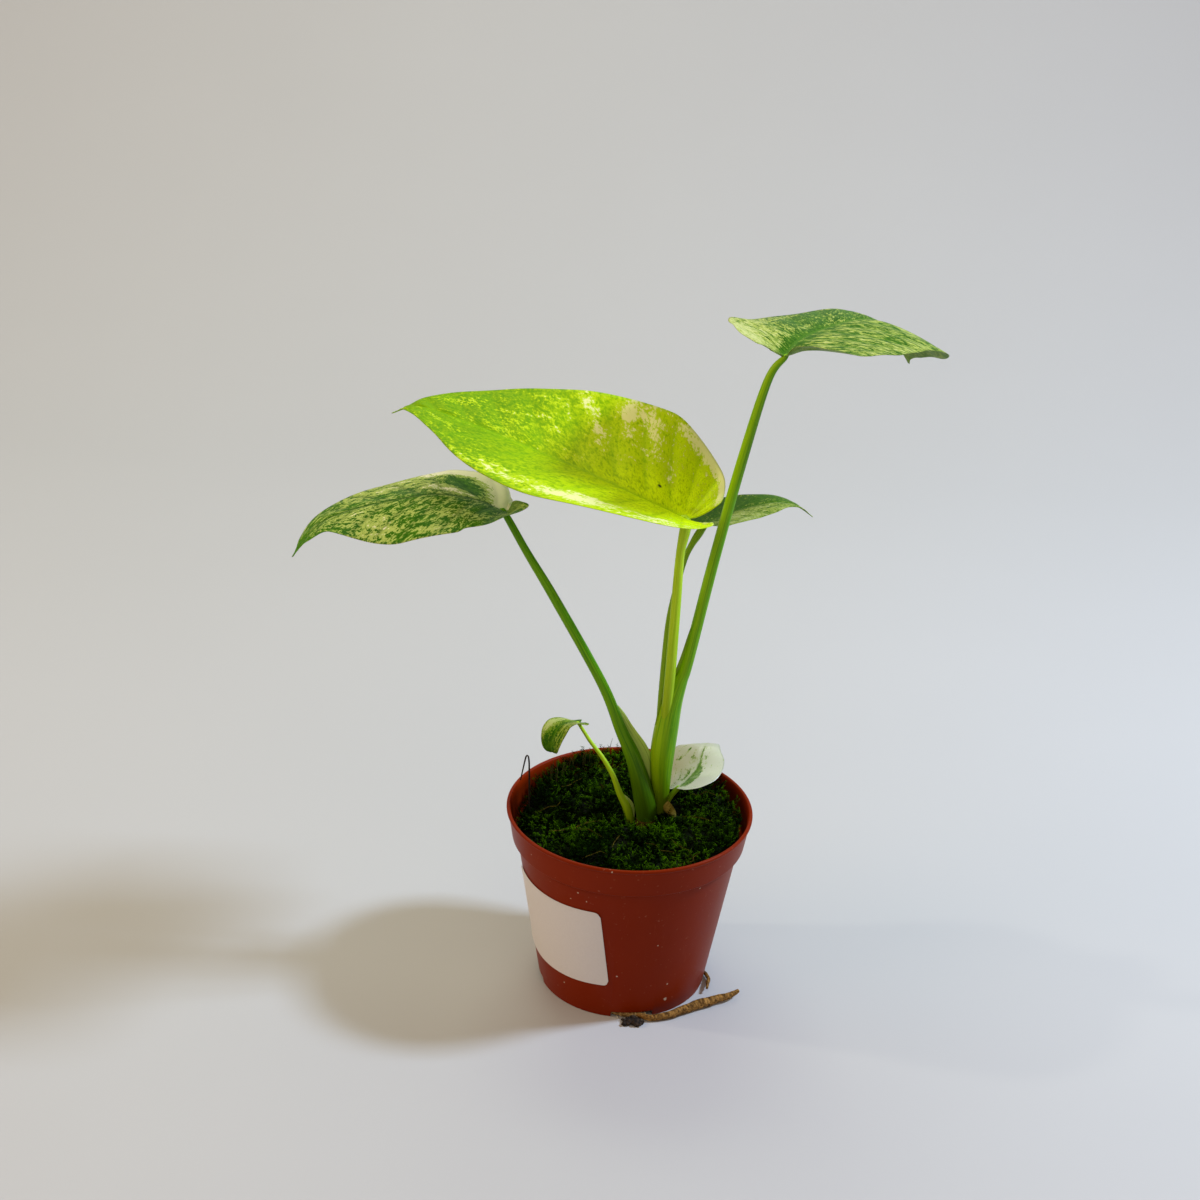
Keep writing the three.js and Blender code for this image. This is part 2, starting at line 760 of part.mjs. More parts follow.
// A flat sheet laid on the cone of the pot's body: across and up are measured on the sheet.
function onBody(across, up, standOff) {
  const slope = Math.atan(BODY_SLOPE);
  const toApex = bodyRadius(LABEL.centreHeight) / Math.sin(slope);
  const run = Math.hypot(across, toApex + up);
  const turn = Math.atan2(across, toApex + up) / Math.sin(slope);
  const angle = THREE.MathUtils.degToRad(LABEL.centreAngle) + turn;
  const radius = run * Math.sin(slope);
  const z = (radius - POT.baseRadius) / BODY_SLOPE - standOff * Math.sin(slope);
  const reach = radius + standOff * Math.cos(slope);
  return new THREE.Vector3(reach * Math.sin(angle), -reach * Math.cos(angle), z);
}

function labelSolid() {
  const { width, height, cornerRadius, columns, rows, standOff, thickness } = LABEL;
  const inner = [];
  const outer = [];
  for (let i = 0; i <= columns; i += 1) {
    const across = (-Math.cos((Math.PI * i) / columns) * width) / 2;
    const past = Math.max(Math.abs(across) - (width / 2 - cornerRadius), 0);
    const half = height / 2 - cornerRadius + Math.sqrt(cornerRadius ** 2 - Math.min(past, cornerRadius) ** 2);
    for (let k = 0; k <= rows; k += 1) {
      const up = half * ((2 * k) / rows - 1);
      inner.push(onBody(across, up, standOff));
      outer.push(onBody(across, up, standOff + thickness));
    }
  }
  return plateSolid(outer, inner, columns, rows + 1);
}

function crumbsSolid() {
  const random = seededRandom(CRUMBS.seed);
  const lumps = Array.from({ length: CRUMBS.count }, () => {
    const radius = THREE.MathUtils.lerp(...CRUMBS.radius, random());
    const offset = CRUMBS.spread.map((reach) => reach * (2 * random() - 1));
    const lump = new THREE.IcosahedronGeometry(radius, 1).scale(1, 1, CRUMBS.squash);
    const [x, y] = CRUMBS.centre;
    return solidOf(lump.translate(x + offset[0], y + offset[1], radius * CRUMBS.squash + 0.1));
  });
  const rootSpace = taperedTube(ROOT, { sides: 8, grow: GAP });
  return mainBody(clearOf(lumps.reduce((sum, lump) => sum.add(lump)), [rootSpace]));
}

const plant = new THREE.Group();

function addPiece(name, solid, [color, roughness]) {
  const { vertProperties, triVerts } = solid.getMesh();
  const geometry = new THREE.BufferGeometry();
  geometry.setAttribute("position", new THREE.BufferAttribute(vertProperties, 3));
  geometry.setIndex(new THREE.BufferAttribute(triVerts, 1));
  geometry.computeVertexNormals();
  const mesh = new THREE.Mesh(geometry, new THREE.MeshStandardMaterial({ color, roughness, metalness: 0 }));
  mesh.name = name;
  plant.add(mesh);
}

// A petiole runs on through the base of its blade and is then cut off just under it.
function petioleSolid(name, grow = 0) {
  const { path, radius, wings } = PETIOLES[name];
  const leaf = BLADES[name];
  const base = vector(leaf.midrib[0]);
  const past = base.clone().add(base.clone().sub(vector(path.at(-1))).setLength(3));
  const tube = { path: [...path, base.toArray(), past.toArray()], radius: [...radius, radius.at(-1)] };
  const stalk = taperedTube(tube, { grow });
  const body = wings.reduce((solid, wing) => solid.add(sheathWing(tube, wing, grow)), stalk);
  const down = midribFrames(leaf).frames[0].normal.negate();
  const clearance = BLADE_THICKNESS / 2 + GAP - grow;
  const open = body.subtract(bladeSolid(leaf, BLADE_THICKNESS + 2 * GAP));
  return open.trimByPlane(down.toArray(), down.dot(base) + clearance);
}

// Each petiole gives way to the pieces that clasp or carry it.
const stem = stemSolid();
const stemSpace = stemSolid(GAP);
const petioleSpace = Object.fromEntries(Object.keys(PETIOLES).map((name) => [name, petioleSolid(name, GAP)]));
const budSpace = taperedTube(BUD, { grow: GAP });
const givesWayTo = {
  left: [petioleSpace.top, stemSpace],
  top: [petioleSpace.lime, petioleSpace.back, stemSpace],
  lime: [],
  back: [petioleSpace.lime],
  small_left: [petioleSpace.left, stemSpace],
  small_white: [petioleSpace.top, stemSpace, budSpace],
};

Object.keys(PETIOLES).forEach((name) => {
  const solid = mainBody(clearOf(petioleSolid(name), givesWayTo[name]));
  addPiece(`petiole_${name}`, solid, name === "lime" ? COLOURS.petiole_lime : COLOURS.petiole);
});

Object.entries(BLADES).forEach(([name, leaf]) => {
  addPiece(`blade_${name}`, bladeSolid(leaf, BLADE_THICKNESS), COLOURS[leaf.colour]);
});

const bud = mainBody(clearOf(taperedTube(BUD), [petioleSpace.top, stemSpace]));
const fibreSpace = taperedTube(FIBRE, { sides: 6, grow: GAP });
const standing = [stemSpace, budSpace, fibreSpace];
standing.push(petioleSpace.left, petioleSpace.top, petioleSpace.small_left, petioleSpace.small_white);
addPiece("stem", stem, COLOURS.stem);
addPiece("bud", bud, COLOURS.stem);
addPiece("moss", mainBody(clearOf(mossSolid(), standing)), COLOURS.moss);
addPiece("fibre", taperedTube(FIBRE, { sides: 6 }), COLOURS.root);
addPiece("soil", soilSolid().subtract(stemSpace), COLOURS.soil);
addPiece("pot", potSolid(), COLOURS.pot);
addPiece("label", labelSolid(), COLOURS.label);
addPiece("root", taperedTube(ROOT, { sides: 8 }), COLOURS.root);
addPiece("root_stub", taperedTube(ROOT_STUB, { sides: 7 }), COLOURS.root);
addPiece("soil_crumbs", crumbsSolid(), COLOURS.soil);

export default plant;
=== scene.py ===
import math

import bmesh
import bpy
import numpy as np
from mathutils import Matrix


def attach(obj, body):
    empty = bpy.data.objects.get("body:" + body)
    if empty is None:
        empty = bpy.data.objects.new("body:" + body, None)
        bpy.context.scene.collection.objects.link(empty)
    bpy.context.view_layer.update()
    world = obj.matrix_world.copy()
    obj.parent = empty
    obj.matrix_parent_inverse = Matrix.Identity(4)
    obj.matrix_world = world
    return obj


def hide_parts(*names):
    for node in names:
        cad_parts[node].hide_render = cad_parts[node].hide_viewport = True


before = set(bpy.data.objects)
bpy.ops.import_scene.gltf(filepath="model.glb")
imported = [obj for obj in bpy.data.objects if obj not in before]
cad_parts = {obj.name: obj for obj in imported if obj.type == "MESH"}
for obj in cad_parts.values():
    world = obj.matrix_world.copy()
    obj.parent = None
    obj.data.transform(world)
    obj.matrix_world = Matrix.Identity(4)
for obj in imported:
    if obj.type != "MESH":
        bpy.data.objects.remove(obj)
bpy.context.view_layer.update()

MM = 0.001
SEED = 7
TURN = 2 * math.pi

# The camera stands in front, looks down and is rolled a little, as in the photograph.
CAMERA = {"place": (-18.9, -846.7, 589.2), "pitch": 24.44, "roll": 2.53, "lens": 60.0, "sensor": 36.0}

# The surroundings are in metres and watts: the sweep, then each lamp's place, size, power and colour.
SWEEP = {"wide": 6.0, "front": -3.0, "back": 1.6, "tall": 3.2, "bend": 0.9}
LAMPS = {
    "cool_from_right": ((1.18, 0.12, 1.25), 0.22, 31.5, (0.62, 0.77, 1.0)),
    "small_from_left": ((-1.9, 0.1, 1.05), 0.1, 7.8, (1.0, 0.96, 0.8)),
    "wide_from_left": ((-1.6, -0.55, 0.95), 1.1, 9.0, (1.0, 0.7, 0.4)),
    "wide_behind": ((-0.2, 0.85, 1.6), 1.0, 11.5, (0.92, 1.0, 0.8)),
    "wide_front": ((-0.1, -1.4, 1.5), 1.4, 5.0, (1.0, 0.95, 0.8)),
}
LAMPS_AIM_AT = (0, 0, 0.15)
ROOM = {"colour": (1.0, 0.72, 0.56, 1), "strength": 0.37}

POT = {
    "height": 95, "rim": 60, "collar_height": 15.6, "collar_foot": 56.9, "body_top": 54.5, "base": 41.5,
    "wall": 0.9, "lip_width": 1.6, "lip_height": 1.5, "foot": 1.8, "pad": 11, "lift": 2.4, "floor": 0.9,
}
COLLAR_Z = POT["height"] - POT["collar_height"]
COLLAR_SLOPE = (POT["rim"] - POT["collar_foot"]) / POT["collar_height"]
BODY_SLOPE = (POT["body_top"] - POT["base"]) / COLLAR_Z
SLOT = {"count": 4, "width": 20.6, "height": 3.4, "depth": 9, "first_angle": 7.6}

# Pale scuffs on the pot, as rows of: angle from the front in degrees, height, size.
SCUFFS = [
    (-52.5, 86.5, 0.5), (-7.5, 94, 0.6), (-25.5, 75, 0.55), (-21, 71, 0.5), (19, 46, 0.5), (29.5, 19, 0.6),
    (30, 9, 1.1), (-3.5, 27, 0.5), (-40, 13.5, 0.5), (39.5, 76, 0.5), (-30, 70, 0.4),
]
LABEL = {
    "width": 60, "height": 46, "corner": 3, "centre_angle": -46.5, "centre_height": 42,
    "stand_off": 0.3, "thick": 0.14, "lifted_corner": 0.5,
}

MOSS = {
    "radius": 54.2, "base": 80.4, "height": 87.2, "rise_to_back": 0.09, "rise_to_right": 0.025,
    "edge_round": 8, "edge_drop": 3, "least": 1.5, "dip_at": (4, 1), "dip_depth": 2.6, "dip_radius": 14,
    "tufts": 90, "tuft_height": (0.8, 2.4), "tuft_radius": (3.5, 7), "seed": 11,
}
# The fronds: how many there are, how far they lie from the middle of their clump, and their sizes.
FRONDS = {
    "pieces": 3, "a_piece": 2300, "clumps": 190, "leaflets": 12, "from_middle": 1.75, "sink": 3.0,
    "lush": (0.5, 1.4), "length": (3.6, 7.2), "thick": 0.2, "leaflet": (1.0, 1.7),
    "leaflet_thick": (0.14, 0.22),
}
# Where stalks stand in the moss and no frond grows: centre and radius.
STANDING = [((7.4, 3.9), 5.7), ((14.6, 6.8), 3.6), ((-0.4, 5.2), 2.2), ((17.6, 9.1), 1.8), ((21, 5.6), 2.4)]
# Bristles by the back wall: between which angles and radii they stand, how tall they are, how far they lean.
BRISTLES = {"count": 26, "angle": (1.75, 2.6), "radius": (44, 52), "tall": (5, 10), "lean": 1.6, "above": 4}
# Dead fibres and sticks on the moss, as rows of: start, end, thickness.
LITTER = [
    ((-38, -14), (-14, -2), 0.32), ((-30, -8), (-12, -16), 0.2), ((-8, -24), (-3, -13), 0.2),
    ((8, -20), (22, -27), 0.22), ((20, -14), (30, -30), 0.2), ((-22, -34), (-10, -30), 0.2),
    ((26, 2), (40, -6), 0.2), ((-46, 4), (-34, 12), 0.3), ((30, 20), (46, 14), 0.3),
    ((34, -30), (24, -38), 0.18), ((-34, 22), (-22, 30), 0.25),
]

# Half the outline of a blade, as rows of: reach along the midrib, width, where the vein starts on the
# midrib, and how much the row follows near_tip and near_base.
OUTLINE = np.array([
    (-0.01, 0.02, 0, 0, 0), (-0.05, 0.13, 0, 0, 0.6), (-0.105, 0.36, 0, 0, 1), (-0.08, 0.66, 0, 0, 0.7),
    (0.05, 0.9, 0.015, 0, 0.25), (0.24, 1, 0.1, 0, 0), (0.44, 0.94, 0.25, 0.1, 0),
    (0.63, 0.75, 0.43, 0.45, 0), (0.79, 0.47, 0.63, 0.8, 0), (0.9, 0.19, 0.82, 1, 0),
    (0.955, 0.055, 0.925, 0.7, 0), (1, 0.012, 0.99, 0, 0),
])
LEAST_HALF_WIDTH = 0.3
LIFT_RAMP = 0.07
RIB_STEPS = 160
RELIEF = {
    "length": 150, "quilt": 0.42, "groove": 0.14, "rib": 0.3, "rib_below": 0.9, "thick": 0.46, "edge": 0.3,
}
SIDE_SHIFT = 3.0

# The blades. A pair is for the left and the right of the midrib, seen from the stalk. Angles are in degrees.
# Trims are rows of side, place around the margin, spread, share cut off. Nudges are rows of side, place,
# spread, shift. A funnel is the depth and spread of the dip over the stalk.
BLADES = {
    "left": {
        "midrib": [(-64.5, 12, 242), (-78.5, 16, 245.5), (-97, 16, 247.5), (-114, 19, 243),
                   (-132, 20.5, 237.5), (-149, 18.5, 231), (-157.5, 12, 223.5), (-162.5, 4, 217.5)],
        "normal": (0.22, -0.03, 1), "half_width": (33.5, 32), "fold": ((11, -11, 9), (-7, -4, 6)),
        "curl": ((0.13, 0.17), (-0.08, 0.02)), "lobe": (0.96, 0.83), "lift": (40, 33),
        "near_tip": (-0.07, -0.15), "near_base": (0.04, -0.15), "twist": 2, "veins": 15,
        "trims": [(1, 0.22, 0.12, 0.22)],
        "nudges": [(1, 0.385, 0.045, (-0.4, 0, 4.4)), (0, 0.21, 0.05, (2, 0, -1)),
                   (0, 0.18, 0.07, (3.5, 0, 3)), (0, 0.09, 0.045, (-1, 0, 5)), (0, 0.31, 0.03, (0, 0, 1.6)),
                   (0, 0.37, 0.04, (0, 0, -1)), (0, 0.45, 0.03, (0, 0, 1.3)),
                   (1, 0.21, 0.15, (-8.5, 0, 0.5))],
    },
    "top": {
        "midrib": [(58, 5, 328), (68, 21, 329), (79.5, 37, 329), (92.5, 51, 329), (106, 62.5, 326),
                   (116.5, 75, 314.5), (125.5, 85.5, 298.5)],
        "normal": (-0.04, -0.03, 1), "half_width": (38.5, 46), "fold": ((11, -5, 17), (11, 5, 0)),
        "curl": ((0.05, 0.16), (0.14, 0.13)), "lobe": (0.94, 1.06), "lift": (15, 23),
        "near_tip": (0.06, 0.43), "near_base": (-0.25, 0), "twist": -6, "veins": 15, "funnel": (3.2, 8),
        "trims": [(0, 0.19, 0.07, 0.16)],
        "nudges": [(0, 0.41, 0.03, (-2.5, 0, 1)), (1, 0.31, 0.04, (0, 0, 1.2)), (0, 0.32, 0.05, (1, 0, 2.2)),
                   (1, 0.68, 0.05, (2, 0, -0.8))],
    },
    "lime": {
        "midrib": [(19, 0, 247), (-7, 3, 257.5), (-38, 13, 267), (-64.5, 23.5, 273.5), (-90.5, 36.5, 278),
                   (-109, 45.5, 279.5), (-121.5, 54.5, 272.5)],
        "normal": (0.33, -0.21, 1), "half_width": (46.5, 47.5), "fold": ((22, -1, 9), (14, 11, 4)),
        "curl": ((-0.1, 0.08), (-0.25, -0.06)), "lobe": (0.97, 0.89), "lift": (30, 21),
        "near_tip": (-0.24, 0.01), "near_base": (-0.03, -0.11), "twist": 1, "veins": 17,
        "trims": [(1, 0.22, 0.08, 0.16), (1, 0.405, 0.03, -0.05), (0, 0.2, 0.08, 0.28),
                  (0, 0.43, 0.13, 0.09), (0, 0.7, 0.007, 0.04)],
    },
    "back": {
        "midrib": [(28, 22, 235.5), (36, 30, 236.5), (45, 37.5, 237.5), (55.5, 43, 238.5), (65, 47.5, 238.5),
                   (74, 50, 236), (82, 51.5, 230)],
        "normal": (-0.18, 0.03, 1), "half_width": (18, 18), "fold": ((5, 5, 5), (10, 2, 5)),
        "curl": ((-0.04, 0.06), (0.06, 0.03)), "lobe": (1.07, 1.01), "lift": (22, 20),
        "near_tip": (-0.03, -0.22), "near_base": (0, 0), "twist": -1, "veins": 12,
    },
    "small_left": {
        "midrib": [(-26.5, 18, 130), (-31.5, 15.5, 131.5), (-35.5, 12, 131), (-38, 8, 128),
                   (-39.5, 5.5, 124), (-39, 5.5, 120), (-37.5, 9, 118.5)],
        "normal": (0.12, 0.17, 1), "half_width": (8.7, 8.8), "fold": ((7, 18, 1), (-10, 1, 6)),
        "curl": ((-0.07, -0.04), (0.05, -0.12)), "lobe": (0.93, 1.01), "lift": (15, 20),
        "near_tip": (0.24, 0.01), "near_base": (0.05, -0.05), "twist": 12, "veins": 8,
    },
    "small_white": {
        "midrib": [(23, 8, 102), (28, 13.5, 104), (32.5, 20, 107.5), (34.5, 27, 111.5), (37, 33, 113.5),
                   (38.5, 38.5, 110), (39, 42, 104)],
        "normal": (-0.2, -0.03, 0.5), "half_width": (15.5, 14.7), "fold": ((-16, -1, -5), (9, -7, -6)),
        "curl": ((0.1, -0.04), (0.04, 0.18)), "lobe": (0.55, 0.94), "lift": (24, 28),
        "near_tip": (0.08, -0.4), "near_base": (-0.4, -0.09), "twist": -11, "veins": 8,
        "nudges": [(0, 0.58, 0.09, (-3.6, 4.5, -2.4))],
    },
}
BLADE_SLOTS = {"lime": "blade_lime", "small_white": "blade_white"}

# The petioles. Wings are membranes: start and end along the petiole, reach from one to the other, direction.
# warm is how much the side facing left is painted lighter and yellower as if lit, the foot setting how far up
# the foot is painted in shade, knob how much the top swells.
PETIOLES = {
    "left": {
        "path": [(8.4, 4.4, 84), (7.2, 4.4, 96), (0.9, 4.8, 118), (-6.3, 5.9, 134), (-16.5, 7.2, 158),
                 (-40, 9.4, 199.4), (-53.8, 10.8, 222)],
        "radius": (4.6, 5.6, 4, 3, 2.5, 2.3, 1.9, 1.6), "warm": 0.3, "painted_shade_foot": 42,
        "skin": "petiole_green",
        "wings": [(0.03, 0.36, (0.4, 1.4, 2.2, 3, 4.2, 4.8, 4.4, 3.6, 2.8, 2, 0.4), (1, 0.2, 0.3))],
    },
    "top": {
        "path": [(14.8, 6.6, 88), (14.8, 6.8, 99), (14.4, 6.8, 111), (14.7, 6.8, 123), (15.9, 6.8, 136),
                 (17.6, 6.7, 149), (20.6, 6.6, 161), (24.1, 6.4, 172.6), (33.1, 5.9, 224.6), (43, 5.5, 276),
                 (51.5, 5.2, 313)],
        "radius": (2.5, 4.3, 5.3, 5.9, 5.8, 5.1, 4, 2.9, 2.6, 2.4, 1.9, 1.3), "warm": 0.8, "painted_shade_foot": 20,
        "skin": "petiole_sheath",
        "wings": [(0.2, 0.42, (0.3, 1.4, 1.8, 1.4, 0.3), (-1, -0.35, 0.2))],
    },
    "lime": {
        "path": [(15.4, 7.6, 90), (15, 7, 106), (14.6, 6, 122), (15, 4.6, 140), (15.4, 2.8, 156),
                 (15.8, 1.6, 172), (16.4, 0.8, 205.8), (16.9, 0.2, 229)],
        "radius": (1.2, 1.9, 2.4, 2.6, 2.7, 2.7, 2.5, 2.2, 2.1), "warm": 0.3, "painted_shade_foot": 66,
        "skin": "petiole_lime", "knob": 1,
    },
    "back": {
        "path": [(13, 9, 112), (12.9, 10.7, 140.5), (13.6, 14, 168), (14.6, 16.4, 188.2), (17.2, 18.2, 205),
                 (21, 20.2, 221)],
        "radius": (1.9, 2, 1.9, 1.7, 1.5, 1.4, 1.4), "warm": 0.3, "painted_shade_foot": 10,
        "skin": "petiole_mid_green", "knob": 1,
    },
    "small_left": {
        "path": [(0.4, 4.6, 83), (-1, 5.6, 90), (-5, 7.6, 97), (-9, 10.3, 106), (-14.6, 12.9, 114.4),
                 (-20.7, 15.4, 121.4)],
        "radius": (2.3, 2.3, 1.7, 1.3, 1.1, 1, 0.8), "warm": 0.3, "painted_shade_foot": 20, "skin": "petiole_lime",
        "wings": [(0.04, 0.24, (0.3, 1.1, 1.3, 0.3), (1, 0.2, 0.5))],
    },
    "small_white": {
        "path": [(17.4, 9.2, 88.5), (18.4, 9, 92.8), (20.6, 8.6, 97.4)],
        "radius": (1.5, 1.4, 1.2, 1.1), "warm": 0.3, "painted_shade_foot": 6, "skin": "petiole_mid_green", "knob": 1,
    },
}
KNOB = {"swell": 0.16, "at": 0.93, "spread": 0.035, "flare": 0.15, "flare_from": 14, "flare_to": 6}

STEM = [((5, 3, 58), (2.6, 2.6)), ((5.2, 3.4, 70), (3.4, 3.2)), ((6, 4, 78), (4.2, 3.8)),
        ((7.6, 4, 82.5), (4.6, 4.8)), ((8.4, 3.9, 84), (5, 5.4)), ((8.8, 4.2, 86.4), (5, 5))]
BUD = {"path": [(15.6, 6.2, 95.5), (18.2, 5.8, 92.4), (20.6, 5.6, 89.2), (22, 5.6, 86.6)],
       "radius": (1.9, 2.4, 2.3, 1.4)}
FIBRE = {"path": [(-49.5, 9, 82), (-49.6, 9.4, 100), (-50.2, 9.8, 113), (-51.4, 10, 114.6), (-52.6, 10, 109),
                  (-54, 10, 101)],
         "radius": (0.5, 0.45, 0.4, 0.4, 0.35, 0.3)}
ROOT = {"path": [(3.5, -35.6, 1.7), (8.2, -40.6, 1.75), (14, -43.2, 1.9), (21, -41.6, 2.1), (29, -37.6, 2.4),
                 (38, -31.6, 2.75), (47, -27, 2.7), (54, -23.6, 3.2), (58.4, -20.4, 3.9)],
        "radius": (1.2, 1.3, 1.5, 1.7, 2, 2.35, 2, 1.6, 0.9)}
ROOT_STUB = {"path": [(37.8, -0.8, 1.6), (41.6, -2.6, 1.7), (43.8, -8, 2.1), (43.4, -13.6, 2.8),
                      (42.8, -18.8, 3.4)],
             "radius": (0.8, 0.9, 1, 0.9, 0.6)}
# The end of a root that shows in the front slot.
SLOT_ROOT = {"path": [(-7, -37.6, 1.4), (-3, -39.3, 1.6), (2, -40.6, 1.75), (7, -40.7, 1.7),
                      (12, -40.4, 1.6)],
             "radius": (0.9, 1.25, 1.45, 1.35, 1)}

# How each leaf is marbled. across and along are the fineness of the marks, middle_from and cream_from the
# values at which pale flecks and cream set in. Dots are rows of side, place around, place out, size.
LEAF_BASE = {"fine": 0.5, "ribs": 1.0, "through": 0.2, "rough": 0.42, "gloss": 0.06, "dots": []}
LEAF_LOOKS = {
    "lime": {"deep": (0.11, 0.29, 0.0005), "light": (0.23, 0.4, 0.0005), "middle": (0.47, 0.65, 0.005),
             "cream": (0.76, 0.8, 0.32), "under": (0.3, 0.5, 0.04), "rib": (0.2, 0.42, 0.001),
             "warm": (0.74, 0.99, 0.0005), "across": 84, "along": 11, "clouds": 0.45, "fine": 0.6,
             "middle_from": (0.53, 0.585), "cream_from": (0.63, 0.71), "ribs": 0.75, "through": 0.05,
             "rough": 0.46, "gloss": 0.04,
             "dots": [(1, 0.438, 0.22, 0.9), (0, 0.483, 0.04, 0.35), (0, 0.446, 0.12, 0.4),
                      (0, 0.5, 0.32, 0.4)]},
    "left": {"deep": (0.03, 0.14, 0.003), "light": (0.1, 0.28, 0.012), "middle": (0.46, 0.6, 0.14),
             "cream": (0.98, 0.97, 0.74), "under": (0.2, 0.32, 0.09), "rib": (0.015, 0.09, 0.001),
             "across": 68, "along": 10, "clouds": 0.3, "middle_from": (0.51, 0.545),
             "cream_from": (0.64, 0.7), "through": 0.08},
    "top": {"deep": (0.025, 0.115, 0.004), "light": (0.09, 0.22, 0.012), "middle": (0.42, 0.5, 0.09),
            "cream": (0.62, 0.65, 0.25), "under": (0.2, 0.34, 0.08), "rib": (0.06, 0.2, 0.01),
            "across": 120, "along": 8, "clouds": 0.2, "middle_from": (0.5, 0.53),
            "cream_from": (0.58, 0.63)},
    "back": {"deep": (0.03, 0.12, 0.004), "light": (0.07, 0.18, 0.006), "middle": (0.33, 0.42, 0.06),
             "cream": (0.56, 0.6, 0.24), "under": (0.2, 0.34, 0.09), "rib": (0.05, 0.16, 0.004),
             "across": 70, "along": 8, "clouds": 0.3, "fine": 0.55, "middle_from": (0.5, 0.55),
             "cream_from": (0.61, 0.66)},
    "small_left": {"deep": (0.015, 0.09, 0.0005), "light": (0.05, 0.15, 0.001), "middle": (0.22, 0.32, 0.02),
                   "cream": (0.45, 0.5, 0.16), "under": (0.2, 0.34, 0.06), "rib": (0.08, 0.2, 0.003),
                   "across": 34, "along": 9, "clouds": 0.4, "fine": 0.55, "middle_from": (0.52, 0.58),
                   "cream_from": (0.64, 0.7)},
    "small_white": {"deep": (0.03, 0.12, 0.003), "light": (0.13, 0.26, 0.02), "middle": (0.38, 0.46, 0.18),
                    "cream": (0.53, 0.55, 0.42), "under": (0.5, 0.54, 0.36), "rib": (0.36, 0.45, 0.2),
                    "across": 34, "along": 8, "clouds": 0.4, "middle_from": (0.3, 0.36),
                    "cream_from": (0.36, 0.42), "rough": 0.26, "gloss": 0.5},
}

